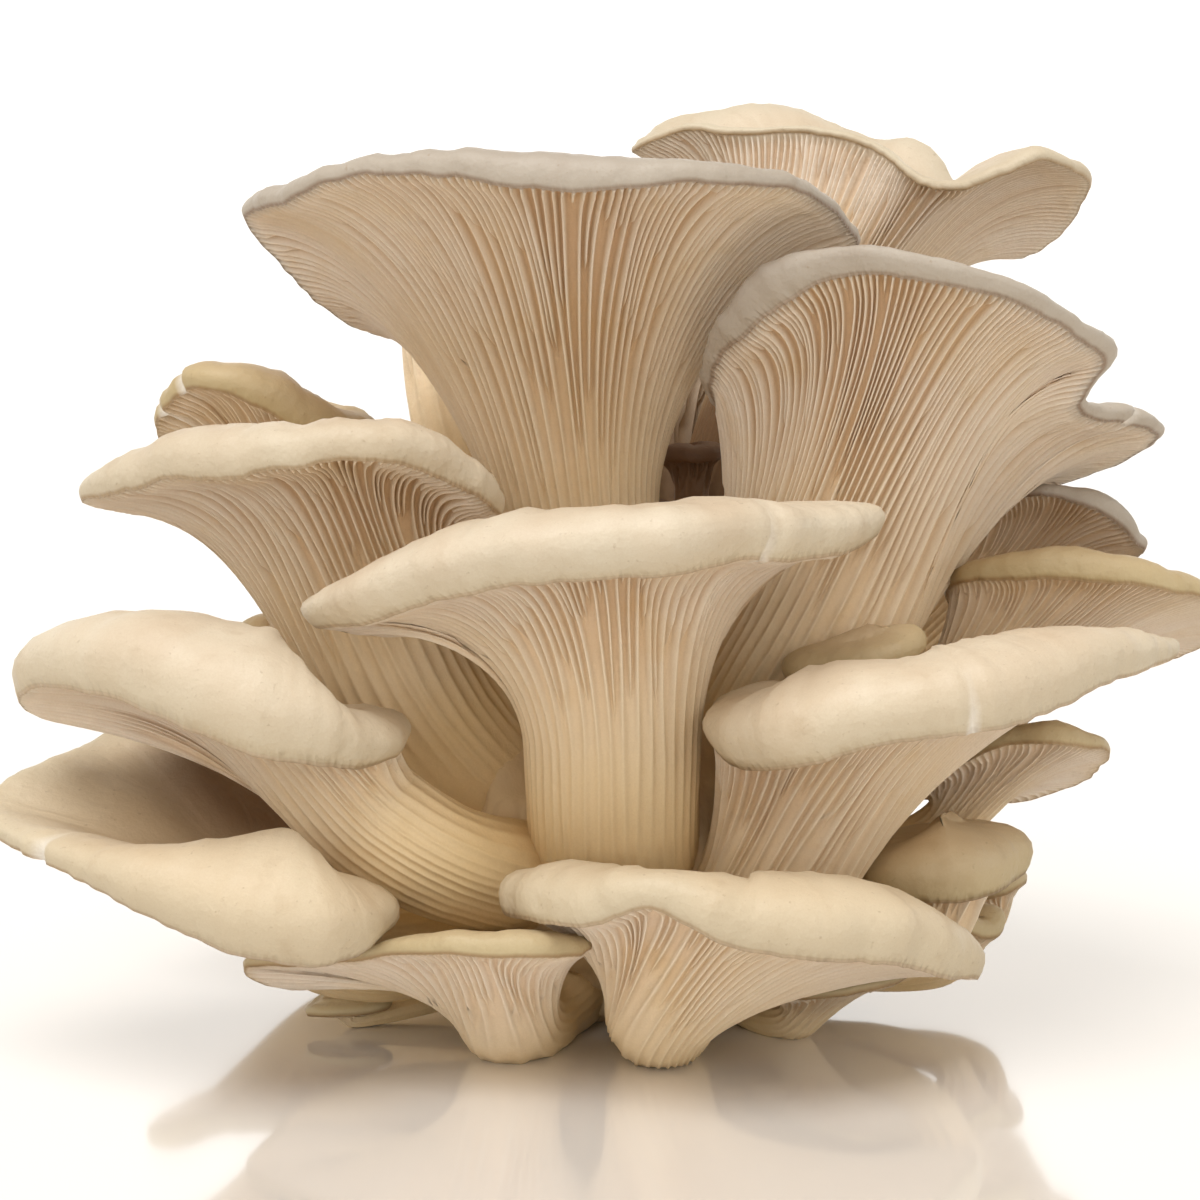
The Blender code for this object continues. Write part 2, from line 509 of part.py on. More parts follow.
def loft(rings, foot, top):
    """A closed skin over the rings, drawn together to a point at both ends."""
    points = [tuple(foot)]
    numbers = []
    for ring in rings:
        numbers.append(list(range(len(points), len(points) + len(ring))))
        points += [tuple(p) for p in ring]
    points.append(tuple(top))
    faces = [(0, numbers[0][(i + 1) % len(numbers[0])], v) for i, v in enumerate(numbers[0])]
    for first, second in zip(numbers, numbers[1:]):
        stitch(faces, first, second)
    last = numbers[-1]
    faces += [(len(points) - 1, v, last[(i + 1) % len(last)]) for i, v in enumerate(last)]
    return points, faces


def flesh_material(name, tone):
    """Matt, slightly waxy flesh."""
    material = bpy.data.materials.new(name + "_flesh")
    material.use_nodes = True
    shader = material.node_tree.nodes["Principled BSDF"]
    shader.inputs["Base Color"].default_value = (*SKIN_TONES[tone], 1)
    shader.inputs["Roughness"].default_value = FLESH_ROUGHNESS
    shader.inputs["Metallic"].default_value = 0.0
    return material


def add_object(name, points, faces, collection):
    """A mesh object from millimetres, its faces turned outwards."""
    mesh = bpy.data.meshes.new(name)
    above = [(x * MM, y * MM, max(z, 0.0) * MM) for x, y, z in points]
    mesh.from_pydata(above, [], faces)
    work = bmesh.new()
    work.from_mesh(mesh)
    bmesh.ops.recalc_face_normals(work, faces=work.faces)
    work.to_mesh(mesh)
    work.free()
    mesh.shade_smooth()
    mesh.set_sharp_from_angle(angle=SHARP_EDGE)
    obj = bpy.data.objects.new(name, mesh)
    collection.objects.link(obj)
    return obj


def base_mesh():
    """Points and faces of the mound: a ball drawn out to its lumps and cut flat below."""
    work = bmesh.new()
    bmesh.ops.create_uvsphere(work, u_segments=BASE_SIDES, v_segments=BASE_RINGS, radius=1)
    bmesh.ops.triangulate(work, faces=work.faces)
    directions = np.array([v.co[:] for v in work.verts])
    faces = [tuple(v.index for v in face.verts) for face in work.faces]
    work.free()
    directions = unit(directions)
    reach = 1 / np.linalg.norm(directions / np.array(BASE_HALF_SIZE), axis=1)
    for x, y, z, height in BASE_LUMPS:
        toward = unit(np.array((x, y, z), float))
        reach += height * np.exp(LUMP_SHARPNESS * (directions @ toward - 1))
    down = np.maximum(1e-6, -directions[:, 2])
    reach = np.where(directions[:, 2] < 0, np.minimum(reach, BASE_CENTRE[2] / down), reach)
    return np.array(BASE_CENTRE) + directions * reach[:, None], faces


def make_cutter(obj, collection):
    """A copy of an object grown by the clearance, for cutting its neighbours back."""
    cutter = obj.copy()
    cutter.data = obj.data.copy()
    cutter.modifiers.clear()
    cutter.name = obj.name + "_clearance"
    normals = [v.normal.copy() for v in cutter.data.vertices]
    for vertex, normal in zip(cutter.data.vertices, normals):
        vertex.co += normal * CLEARANCE * MM
    cutter.hide_render = True
    cutter.display_type = "WIRE"
    collection.objects.link(cutter)
    return cutter


def cut_back(obj, cutter):
    """Takes the cutter's room out of the object."""
    cut = obj.modifiers.new("clear_of_" + cutter.name, "BOOLEAN")
    cut.operation = "DIFFERENCE"
    cut.solver = "EXACT"
    cut.object = cutter


def main():
    for obj in list(bpy.data.objects):
        bpy.data.objects.remove(obj)
    cluster = bpy.data.collections.new("oyster_mushroom_cluster")
    cutters = bpy.data.collections.new("clearances")
    bpy.context.scene.collection.children.link(cluster)
    bpy.context.scene.collection.children.link(cutters)

    base = add_object("common_base", *base_mesh(), cluster)
    base.data.materials.append(flesh_material("common_base", "warm"))
    base_cutter = make_cutter(base, cutters)

    bodies = {}
    for name, plan in MUSHROOMS.items():
        bodies[name] = add_object(name, *loft(*mushroom_rings(plan)), cluster)
        bodies[name].data.materials.append(flesh_material(name, plan["tone"]))
    grown = {}
    for name, plan in MUSHROOMS.items():
        cut_back(bodies[name], base_cutter)
        for neighbour in plan.get("clear_of", ()):
            if neighbour not in grown:
                grown[neighbour] = make_cutter(bodies[neighbour], cutters)
            cut_back(bodies[name], grown[neighbour])


main()
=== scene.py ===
"""Looks of the oyster mushroom cluster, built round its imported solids.

Each mushroom is remade from its solid's plan, with real gills: blades a little over a
millimetre apart, in three ranks, of which the first runs down the stem. The skin rolls over
the rim and dips to the heart of the cap. Plans are in millimetres, the scene in metres.
"""
import math

import bpy
import numpy as np
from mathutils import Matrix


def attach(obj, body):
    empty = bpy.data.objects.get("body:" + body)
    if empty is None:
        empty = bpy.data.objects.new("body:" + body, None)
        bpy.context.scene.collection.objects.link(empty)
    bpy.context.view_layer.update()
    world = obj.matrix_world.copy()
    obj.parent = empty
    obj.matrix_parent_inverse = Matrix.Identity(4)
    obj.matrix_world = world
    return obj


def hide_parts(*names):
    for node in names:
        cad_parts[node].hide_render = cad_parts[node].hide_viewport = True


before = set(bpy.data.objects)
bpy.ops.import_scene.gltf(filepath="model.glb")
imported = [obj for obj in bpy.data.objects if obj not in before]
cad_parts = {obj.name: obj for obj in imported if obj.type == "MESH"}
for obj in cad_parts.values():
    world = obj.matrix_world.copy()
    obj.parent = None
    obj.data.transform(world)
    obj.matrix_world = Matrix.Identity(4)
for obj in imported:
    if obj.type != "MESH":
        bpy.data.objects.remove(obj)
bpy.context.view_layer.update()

MM = 0.001
SEED = 11

# The camera, as in the photo.
TARGET = (-0.006, 0.0, 0.0692)
DISTANCE = 0.75
ELEVATION = math.radians(8)
FOCAL_LENGTH = 132.35
SENSOR = 36.0

# The light: a white backdrop, a dimmer and warmer ceiling, and a soft sun. A span is a low
# and a high value, and what they turn into. The backdrop fades with height, is stronger in
# front, and sets the sky's strength.
BACKDROP_TOP = (0.30, 0.62, 1.0, 0.0)
BACKDROP_SIDE = (-0.3, 0.3, 1.0, 0.72)
BACKDROP_STRENGTH = (0.0, 1.0, 0.40, 1.55)
BACKDROP = (1.0, 1.0, 1.0)
CEILING = (1.0, 0.92, 0.80)
SUN_POWER = 2.2
SUN_TILT = (math.radians(17), math.radians(-9), 0)
SUN_ANGLE = math.radians(50)
SUN_COLOUR = (1.0, 0.99, 1.0)

# The table top, in metres.
FLOOR_REACH = 60.0
FLOOR_COLOUR = (0.84, 0.795, 0.735)
FLOOR_ROUGHNESS = 0.12
FLOOR_COAT_ROUGHNESS = 0.06

# The base, as in the solids, with finer relief: fibres that run up to the stems.
BASE_CENTRE = (0, 0, 26)
BASE_HALF_SIZE = (30, 28, 33)
BASE_LUMPS = (
    (-6, -30, 2, 9),
    (-24, -14, 4, 8),
    (24, -14, 6, 6),
    (-4, 0, 34, 7),
    (16, 12, 24, 7),
    (-14, 24, 8, 6),
    (22, 22, 2, 6),
)
LUMP_SHARPNESS = 9.0
BASE_SIDES = 160
BASE_RINGS = 80
BASE_RELIEF = ((13, 0.8), (5, 0.4))
BASE_PLEATS = (17, 23, 29)
BASE_PLEAT_DEPTH = 0.7
BASE_PLEAT_TWIST = 1.3
BASE_KNOTS = 9

# The cap's section, as in the solids.
FLESH = 4.0
LEAST_FLESH = 2.6
APART_ROUNDS = 2
HOLLOW_UNDER_CREST = 0.95
SKIN_RISE = 1.12
SKIN_SHOULDER = 0.95
SKIN_ROLL = 0.30
PULLS = (0.42, 0.34)
DISH_PULLS = (0.30, 0.35)
SIDEWAYS_REACH = 2.2
OVERHANG = 6.0
EVEN_SPREAD = 0.45
LEAST_SPREAD = 0.3
MOST_SPREAD = 1.9
STEM_STEPS = 161
ALONG_X = 0.8
CURVE_STEPS = 96
SLOPE_STEP = 0.02
OVAL_POINTS = 12
OVAL_SWELL = 0.07
OVAL_TWIST = 1.7

# How far apart gills are at the rim, in mm, where the plan doesn't say.
PITCH = 1.5
BUD_PITCH = 1.1

# The samples of a section for each gill. Where each rank starts on the way from the neck, 0,
# to the rim, 1, how much later its last gills start, and how soon they are full.
FINE = 4
RANK_STARTS = (-1.0, 0.10, 0.42)
RANK_DELAYS = (0.0, 0.42, 0.50)
GILL_ONSET = 0.07

# How high and deep gills stand in a large cap, in mm, and the shares of that elsewhere.
GILL_RISE = 0.8
GILL_SINK = 1.2
TALLNESS = (0.82, 1.08)
HEIGHT_ON_STEM = 0.035
HEIGHT_AT_NECK = 0.20
STEM_HEIGHT_FROM = 0.3
FULL_HEIGHT_FROM = 0.55
RUN_DOWN = (0.1, 1.9)
RUN_DOWN_UNTIL = 0.5
RIM_FADE = 2.0
ROOM_FOR_GILLS = 0.75
LEAST_ROOM = 0.1
FULL_SIZE_RIM = 130.0
LEAST_SIZE = 0.45

# Half a gill's width and that of its walls, as shares of the pitch, and what the first two
# ranks gain towards the neck. Wobbles are (gills a wave, amount, turns along the gill).
HALF_WIDTH = 0.10
WALL_WIDTH = 0.12
FIRST_GAIN = 0.34
SECOND_GAINS = (0.10, 0.08)
NARROWEST = 0.25
GILL_SHIFT = 0.08
WOBBLES = ((19, 0.30, 0.9), (7, 0.10, 1.9))

# Rows of points: their spacing in mm and least number on the flare and the stem, the places
# of the last ones at the rim, and those of the skin, thinned out towards the heart.
ROW_SPACING = 2.0
LEAST_ROWS = 7
LAST_ROWS = (0.94, 0.965, 0.985, 1.0)
STEM_SPACING = 3.0
LEAST_STEM_ROWS = 8
ROLL_ANGLES = (10, 22, 34, 46, 58, 74, 90)
DISH_ROWS = 18
THINNING = (0.55, 0.82)
SMOOTHING_ROUNDS = 6
SMOOTHING_SHARE = 0.3

# Relief as (length, share) pairs in mm: the crimped rim, the skin and the stem.
CRIMPS = ((11, 1.0), (3.6, 0.45))
CRIMP_UP = 0.22
CRIMP_OUT = 0.32
SKIN_RELIEF = ((22, 0.9), (7, 0.35), (2.6, 0.12))
SKIN_RELIEF_HEIGHT = 0.30
SKIN_RELIEF_FROM = 3.0
STEM_RELIEF = ((16, 1.0), (6, 0.4))
STEM_RELIEF_HEIGHT = 0.55
STEM_FOOT_FLARE = 0.35
STEM_FOOT_REACH = 0.15
SINES_A_WAVE = 7
SINE_LENGTHS = (0.75, 1.35)

# Streaks along the gills and the skin: their knots, the shares of the single, broad and
# broader ones, and their relief on the skin.
GILL_KNOTS = 6
SKIN_KNOTS = 7
STREAK_SHARES = (0.22, 0.45, 0.35)
STREAK_BLURS = 3
STREAK_WIDTH = 4
ROWS_A_KNOT = 4
SKIN_STREAK_HEIGHT = 0.05
SKIN_STREAKS_FROM = 5.0

# Painted shade: where the cluster is crowded, its flesh is painted dark brown to stand for the
# shade deep inside it and in a low hollow: x, y, z and radius.
PAINTED_SHADE_SPOTS = (
    (13, 31, 91, 31),
    (-66, -16, 34, 25),
)
PAINTED_SHADE_CORE = 0.45

# What the material reads at each point: 1 on the skin, the depth in a groove, the place
# along (0 root, 1 neck, 2 rim, 3 heart), the distance to the rim in mm, the streaks, how near
# a nick it is, and how deep it lies in a crevice, which sets the painted shade there.
VALUE_NAMES = ("skin", "groove", "along", "edge", "streak", "scar", "painted_shade")
BASE_VALUES = ("streak", "along")
SCAR_REACH = 6.0
EDGE_FAR = 60.0
ROOT_GROOVE = 0.3

# Colours are linear. A tone's colours are in the order of its keys.
TONE_KEYS = ("skin", "blotch", "margin", "heart", "band")
SKIN_TONES = {
    "pale": ((0.735, 0.64, 0.49), (0.61, 0.475, 0.33), (0.42, 0.29, 0.16), (0.54, 0.38, 0.22),
             (0.59, 0.51, 0.36)),
    "warm": ((0.60, 0.455, 0.275), (0.49, 0.345, 0.18), (0.36, 0.23, 0.11), (0.44, 0.29, 0.15),
             (0.50, 0.41, 0.22)),
    "grey": ((0.53, 0.47, 0.395), (0.42, 0.355, 0.29), (0.29, 0.205, 0.145), (0.42, 0.33, 0.24),
             (0.49, 0.43, 0.345)),
}
COLOURS = {
    "blade": (0.90, 0.785, 0.645),
    "stem blade": (0.84, 0.64, 0.35),
    # The groove colours: partly the flesh's own darker tone, partly painted shade deep between the
    # gills.
    "groove": (0.755, 0.55, 0.355),
    "stem groove": (0.74, 0.52, 0.26),
    "bruise": (0.42, 0.25, 0.11),
    "torn": (0.96, 0.90, 0.80),
    "speck": (0.30, 0.19, 0.10),
    # Painted shade: the skin darkens towards the bottom of the cluster, standing for the shade
    # under the caps above.
    "painted_low_shade": (0.66, 0.53, 0.34),
    # Painted shade: the dark brown of the crevices where shade falls.
    "painted_shade_brown": (0.16, 0.07, 0.025),
    "base": (0.82, 0.64, 0.38),
    "dark base": (0.56, 0.38, 0.20),
}

# Noises are (scale, detail, stretch). A layer of paint is a value, the span that turns it
# into the layer's share, and a colour. Bumps are (height, distance, strength).
FLESH_NOISES = {
    "broad": (38.0, 4.0),
    "middling": (150.0, 4.0),
    "fine": (900.0, 4.0),
    "dust": (3200.0, 2.0),
    "crimp": (300.0, 2.0),
}
ON_FLARE = (0.70, 1.70, 0.0, 1.0)
# How colour deepens with depth in a groove: partly the flesh's own tone, partly painted shade.
GROOVE_POWER = 1.2
GROOVE_SHARE = 0.92
LAYERS_BELOW = (
    ("streak", (-0.9, 0.9, 0.0, 0.30), "deep"),
    ("broad", (0.45, 0.75, 0.0, 0.35), "stem blade"),
    ("middling", (0.58, 0.78, 0.0, 0.30), "stem groove"),
    ("edge", (0.3, 2.2, 0.55, 0.0), "skin"),
    ("edge", (0.0, 0.5, 0.8, 0.0), "margin"),
)
LAYERS_ABOVE = (
    ("broad", (0.42, 0.66, 0.0, 0.75), "blotch"),
    ("streak", (-0.6, 0.9, 0.0, 0.38), "blotch"),
    # Painted shade: darker skin low in the cluster.
    ("height", (0.035, 0.075, 0.62, 0.0), "painted_low_shade"),
    ("along", (2.35, 3.0, 0.0, 0.8), "heart"),
    ("edge", (0.8, 10.0, 0.65, 0.0), "band"),
    ("edge", (0.2, 0.9, 0.95, 0.0), "margin"),
    ("middling", (0.60, 0.80, 0.0, 0.30), "margin"),
    ("fine", (0.66, 0.76, 0.0, 0.35), "speck"),
)
ON_SKIN = (0.02, 0.25, 0.0, 1.0)
LAYERS_ON_BOTH = (
    ("scar", (0.15, 0.8, 0.0, 0.9), "torn"),
    ("dust", (0.35, 0.75, 0.0, 0.10), "bruise"),
    # Painted shade: dark brown deep in the crevices.
    ("painted_shade", (0.0, 1.0, 0.0, 0.85), "painted_shade_brown"),
)
FLESH_ROUGHNESS = (0.3, 0.7, 0.40, 0.56)
CRIMPED_MARGIN = (0.0, 12.0, 1.0, 0.35)
FLESH_BUMPS = (
    ("crimped", 0.0012, 0.45),
    ("fine", 0.0004, 0.35),
    ("streak", 0.0003, 0.35),
    ("dust", 0.00012, 0.30),
)
SPECULAR = 0.35

BASE_NOISES = {
    "broad": (45.0, 4.0),
    "middling": (260.0, 4.0, (1.0, 1.0, 0.25)),
    "fine": (1500.0, 4.0, (1.0, 1.0, 0.2)),
}
BASE_LAYERS = (
    ("broad", (0.38, 0.68, 0.0, 0.7), "dark base"),
    ("streak", (-0.5, 0.9, 0.0, 0.5), "dark base"),
    ("middling", (0.5, 0.72, 0.0, 0.5), "bruise"),
    # Darker towards the bottom of the base.
    ("along", (0.0, 0.3, 0.5, 0.0), "bruise"),
)
BASE_ROUGHNESS = (0.3, 0.7, 0.50, 0.68)
BASE_BUMPS = (
    ("middling", 0.0006, 0.5),
    ("fine", 0.0002, 0.4),
)


def oval_rim(centre, half_width, half_depth, rise_right, rise_back, crest, waves, wave, turn):
    """Rim of a cap that is a waved oval, listed counterclockwise from above."""
    points = []
    for step in range(OVAL_POINTS):
        angle = math.tau * step / OVAL_POINTS
        swell = 1 + OVAL_SWELL * math.cos(waves * angle + turn)
        right = half_width * swell * math.cos(angle)
        back = half_depth * swell * math.sin(angle)
        lift = rise_right * right / half_width + rise_back * back / half_depth
        lift += wave * math.sin(waves * angle + OVAL_TWIST * turn)
        points.append((centre[0] + right, centre[1] + back, centre[2] + lift, crest))
    return points


# Each mushroom: the rim of its cap as x, y, z and the height of the skin above the rim, the
# heart of the cap, the root, bend and neck of its stem, the radii at root and neck, and the
# tone. Some have their own curves, roll or pitch, gentler gills, or nicks in the rim, each
# given as x, y, z, half width and depth.
PLANS = {}
PLANS["mushroom_top_left"] = dict(
    rim=[(-65, -2, 133.5, 3), (-57.5, -22, 137.5, 3.5), (-46.5, -36, 142.5, 3.5),
         (-33, -44, 143, 4.2), (-20, -48, 141.5, 5.5), (-8.5, -49, 140.5, 6.5), (2.5, -48, 142, 5),
         (16, -43, 141.5, 3.5), (26, -34, 140, 2.8), (34, -18, 134, 2.5), (37, -4, 129.5, 2.5),
         (34, 9, 130, 3), (24, 22, 130, 3), (9, 31, 127, 3), (-9.5, 36, 120, 3), (-27, 37, 113, 3),
         (-42, 32, 111, 3), (-55.5, 12, 120, 3)],
    heart=(-12, 0, 115), root=(-4, 3, 44), bend=(-7, 6, 62), neck=(-9.5, 6, 80),
    radii=(14, 13.8), tone="grey", pulls=(0.30, 0.32), pitch=1.55,
)
PLANS["mushroom_top_right"] = dict(
    rim=[(17, 5, 97.5, 2), (12.5, -8, 105, 3), (13, -18, 111.5, 4), (17, -26, 116, 6),
         (23.5, -34, 122, 7.5), (30.5, -38, 126, 5.5), (38.5, -40, 127, 4.5), (49.5, -40, 125.5, 4),
         (61.5, -36, 122, 3.5), (71, -28, 116.5, 3), (77, -18, 111, 3), (73.5, -12.5, 103.5, 2),
         (77.5, -5, 100.5, 3), (83.5, 0, 99.5, 3), (89.5, 8, 96.5, 2), (86.5, 18, 91.5, 2),
         (80, 26, 87.5, 2.5), (67, 30, 83.5, 3), (52.5, 32, 86, 3), (38, 30, 91.5, 3),
         (25.5, 20, 95.5, 3)],
    heart=(42, -4, 97), root=(12, -2, 36), bend=(18, -3, 46), neck=(26.5, -5, 60),
    radii=(15, 17), tone="grey", pulls=(0.30, 0.34), roll=0.8, pitch=1.3,
    nicks=[(84, 0, 99.5, 1.2, 1.8)],
)
PLANS["mushroom_front_centre"] = dict(
    rim=[(-51, -48, 71.5, 5), (-44.5, -60, 73.5, 8), (-33.5, -70, 78, 9.6), (-21.5, -76, 81.5, 10),
         (-7.5, -78, 83, 10.3), (6, -76, 83.5, 10.8), (16, -70, 85, 9.8), (25, -62, 84, 9.6),
         (34.5, -50, 84, 8), (38.5, -41, 86, 5), (33, -35, 86, 4), (22, -29, 84, 4),
         (2, -17, 80.5, 4), (-17.5, -20, 73, 4), (-31, -30, 69, 3), (-43, -42, 69.5, 3)],
    heart=(-4, -38, 73), root=(-3, -6, 26), bend=(-4, -36, 29), neck=(-4, -38, 50),
    radii=(13, 14.3), tone="pale", pulls=(0.40, 0.48), roll=0.5, pitch=1.4, gentle=0.85,
    nicks=[(19.5, -67, 84.7, 0.8, 1.3)],
)
PLANS["mushroom_mid_left"] = dict(
    rim=[(-91.5, -22, 88.5, 3.5), (-83, -34, 91.5, 6.5), (-74, -42, 94.5, 8), (-64.5, -47, 95, 8.5),
         (-53.5, -51, 97.5, 7), (-41.5, -51, 98.5, 6.5), (-33, -46, 96, 8), (-26, -38, 91, 7),
         (-22.5, -28, 86.5, 4), (-26, -12, 85, 3), (-40, 4, 87.5, 3), (-57.5, 8, 88.5, 3),
         (-70.5, 4, 86.5, 3), (-79, -6, 85.5, 3), (-87.5, -14, 86.5, 3)],
    heart=(-50, -20, 83), root=(-12, -4, 30), bend=(-32, -10, 44), neck=(-40, -12, 61),
    radii=(13, 16), tone="pale", pulls=(0.45, 0.45), pitch=1.35,
)
PLANS["mushroom_back_left"] = dict(
    rim=[(-82.5, 20, 94.5, 3), (-80.5, 8, 101, 3.5), (-75.5, 2, 105, 4), (-69.5, 0, 104.5, 5),
         (-63, 0, 101.5, 7), (-57, 4, 97, 8), (-50, 12, 93.5, 7), (-45.5, 25, 93, 5),
         (-52.5, 42, 96, 3), (-65.5, 48, 98, 3), (-77.5, 42, 97.5, 3), (-82, 32, 95, 3)],
    heart=(-64, 24, 91), root=(-12, 10, 38), bend=(-46, 24, 52), neck=(-58, 26, 74),
    radii=(8, 8.5), tone="warm", gentle=0.6,
    nicks=[(-81, 10, 100, 1.2, 1.6), (-77, 3, 104, 0.8, 1.2)],
)
PLANS["mushroom_front_left"] = dict(
    rim=[(-100.5, -38, 58, 7.5), (-94.5, -50, 62, 11), (-84.5, -60, 62.5, 13),
         (-73.5, -67, 59.5, 14.5), (-61.5, -70, 55.5, 16), (-50.5, -68, 52.5, 13.5),
         (-42, -60, 51, 8.5), (-38, -49, 52, 5), (-38.5, -38, 52.5, 3.5), (-50, -31, 53, 4),
         (-66, -22, 57, 4), (-81.5, -22, 53, 4), (-92, -24, 53, 3), (-98.5, -30, 54.5, 3)],
    heart=(-64, -44, 52), root=(-10, -12, 26), bend=(-25, -42, 26), neck=(-42, -43, 39),
    radii=(9, 10), tone="pale", pulls=(0.34, 0.52), gentle=0.65,
)
PLANS["mushroom_low_left"] = dict(
    rim=[(-107.5, -35, 39, 2.5), (-98.5, -52, 36, 3.5), (-87, -62, 33, 5.5), (-74.5, -70, 28.5, 10),
         (-63.5, -74, 24.5, 13.5), (-52.5, -74, 22.5, 13.5), (-44.5, -68, 22.5, 10.5),
         (-39.5, -58, 24.5, 6), (-40.5, -46, 25, 3.5), (-43, -35, 26, 3), (-51, -22, 32, 3),
         (-67, -9, 41, 3), (-82.5, -5, 49, 2), (-91.5, -12, 45.5, 2), (-98.5, -22, 43.5, 2.5)],
    heart=(-60, -40, 26), root=(-10, -6, 18), bend=(-44, -28, 9), neck=(-53, -37, 18),
    radii=(8, 7), tone="pale",
    nicks=[(-95, -55, 35, 1.6, 2.2)],
)
PLANS["mushroom_bottom_left"] = dict(
    rim=[(-63.5, -50, 16.5, 2), (-53.5, -57, 18.5, 2), (-42.5, -63, 21, 2.5), (-31, -70, 23.5, 3.5),
         (-19, -73, 23, 4), (-11.5, -69, 22.5, 4), (-7.5, -60, 21.5, 3), (-8.5, -48, 18.5, 3),
         (-14, -38, 17, 2.2), (-26, -36, 16.5, 2), (-40, -36, 13.5, 2), (-52, -41, 11.5, 2),
         (-60, -45.5, 12.5, 2)],
    heart=(-30, -56, 17), root=(-7, -8, 10), bend=(-19, -34, 0), neck=(-21, -44, 8),
    radii=(7, 8.5), tone="warm", pulls=(0.2, 0.34), gentle=0.5,
)
PLANS["mushroom_bottom_right"] = dict(
    rim=[(-21.5, -52, 26.8, 5), (-18.5, -66, 28, 9), (-9, -76, 29, 9), (-2.5, -80, 31.5, 7.5),
         (1.5, -81, 33, 5.5), (7, -82, 31, 8), (14, -82, 27, 10), (24.5, -80, 24.5, 11),
         (37.5, -74, 22.5, 11), (49, -61, 17.5, 10.5), (54.5, -48, 14.5, 6), (51, -40, 15, 3),
         (40.5, -40, 16, 3), (23.5, -46, 19.6, 3), (6.5, -49.5, 25, 4), (-7.5, -50.5, 26.5, 3),
         (-18, -47, 26.5, 3)],
    heart=(14, -65, 22.5), root=(5, -10, 13), bend=(3, -38, 2), neck=(4, -49, 9.5),
    radii=(7, 9.2), tone="pale", pulls=(0.2, 0.34), gentle=0.65,
)
PLANS["mushroom_bottom_small"] = dict(
    rim=[(18.5, -33, 8, 1.8), (24, -41, 9, 2), (31, -45, 10.5, 2), (39, -45, 12, 2),
         (45, -37, 12.5, 2), (43, -28, 11.5, 2), (35, -23, 10, 2), (27, -22, 8.5, 1.8),
         (20.5, -27, 8, 1.5)],
    heart=(32, -33, 11), root=(8, -4, 8), bend=(24, -26, 0), neck=(27, -29, 4),
    radii=(4.5, 3.8), tone="warm", pitch=1.1,
)
PLANS["mushroom_front_right"] = dict(
    rim=[(12, -42, 54, 5), (14, -56, 51, 9.5), (21.5, -66, 51.5, 12.5), (31, -70, 54.5, 11.8),
         (42, -70, 57, 10.5), (53.5, -68, 58, 11.8), (63, -62, 59.5, 11.5), (73.5, -52, 62.5, 9.5),
         (82.5, -40, 63.5, 6.5), (89, -26, 63.5, 3), (86, -13, 62, 3), (73.5, -8, 59, 3),
         (58, -12, 56, 4), (43.5, -22, 54, 4), (30.5, -26, 54, 4), (18, -31, 54, 5.5)],
    heart=(42, -42, 50), root=(8, -6, 24), bend=(16.5, -26, 17), neck=(20.5, -30, 24),
    radii=(9, 12), tone="pale", pulls=(0.36, 0.34), gentle=0.65,
    nicks=[(52, -68.5, 58, 1.0, 1.4)],
)
PLANS["mushroom_bud_right"] = dict(
    rim=oval_rim((36, -28, 62), 10.5, 6.5, 2.5, 0.5, 4.6, 2, 0.5, 0.6),
    heart=(38, -28, 69.3), root=(25, -12, 48), bend=(32, -24, 51), neck=(34.5, -27, 56.5),
    radii=(4, 3.5), tone="warm",
)
PLANS["mushroom_side_right"] = dict(
    rim=[(53, 2, 70.5, 3), (59.5, -8, 73.5, 5), (70.5, -14, 74.5, 7), (82, -15, 74, 6),
         (93, -10, 71.5, 4), (101, 2, 67, 3), (103, 16, 61, 2.5), (97, 25, 56, 2.5),
         (84, 28, 54, 3), (70, 23, 57, 3), (58.5, 13, 63, 3)],
    heart=(76, 6, 60), root=(14, 3, 34), bend=(36, 4, 36), neck=(52, 5, 47),
    radii=(9, 9), tone="warm", pitch=1.2, gentle=0.45,
)
PLANS["mushroom_side_right_back"] = dict(
    rim=[(56.5, 24, 77, 2), (63.5, 15, 84, 2), (72, 10, 85.5, 2.5), (80.5, 9, 82.5, 4),
         (87.5, 14, 76.5, 3), (88.5, 28, 73, 3), (79.5, 42, 71, 3), (65.5, 43, 72, 3),
         (57, 35, 74, 3)],
    heart=(71, 27, 70), root=(12, 12, 40), bend=(34, 26, 44), neck=(50, 33, 58),
    radii=(7, 6.5), tone="grey", pitch=1.2, gentle=0.5,
)
PLANS["mushroom_side_right_low"] = dict(
    rim=[(47, -10, 39, 2.5), (55, -14, 43.5, 3), (63, -20, 48, 3.5), (70, -24, 48, 5),
         (78, -18, 46.5, 3), (79, -6, 41.5, 2), (75.5, 3, 36.5, 2), (65.5, 5, 33.5, 2),
         (55, 4, 33.5, 2), (47, 0, 35, 2)],
    heart=(65, -8, 42), root=(13, 0, 21), bend=(47, -1, 22), neck=(54, -4, 32),
    radii=(5.5, 5), tone="warm", gentle=0.45,
)
PLANS["mushroom_low_right"] = dict(
    rim=[(38.5, -30, 24.5, 7), (44, -36, 24.5, 9), (51, -37, 24.5, 10.5), (59.5, -31, 25, 9.5),
         (64.5, -21, 26.5, 8), (61.5, -13, 27, 7), (54, -10, 27, 7), (45, -12, 26, 7),
         (39, -20, 24.5, 7)],
    heart=(52, -22, 37), root=(11, -4, 14), bend=(42, -17, 8), neck=(49.5, -21, 17),
    radii=(6.5, 6), tone="warm",
)
PLANS["mushroom_bud_low_1"] = dict(
    rim=oval_rim((55, -14, 14), 6.5, 7, 1, -1, 3.5, 3, 1.0, 0.3),
    heart=(55, -14, 18.5), root=(12, 2, 8), bend=(49, -9, 3.5), neck=(53.5, -13, 9),
    radii=(3.5, 3), tone="warm",
)
PLANS["mushroom_bud_low_2"] = dict(
    rim=oval_rim((62, 2, 18), 5, 6, 1, -1, 3, 2, 0.6, 1.3),
    heart=(62, 2, 22), root=(12, 6, 12), bend=(56, 5, 6), neck=(61, 2.5, 13),
    radii=(3, 2.6), tone="warm",
)
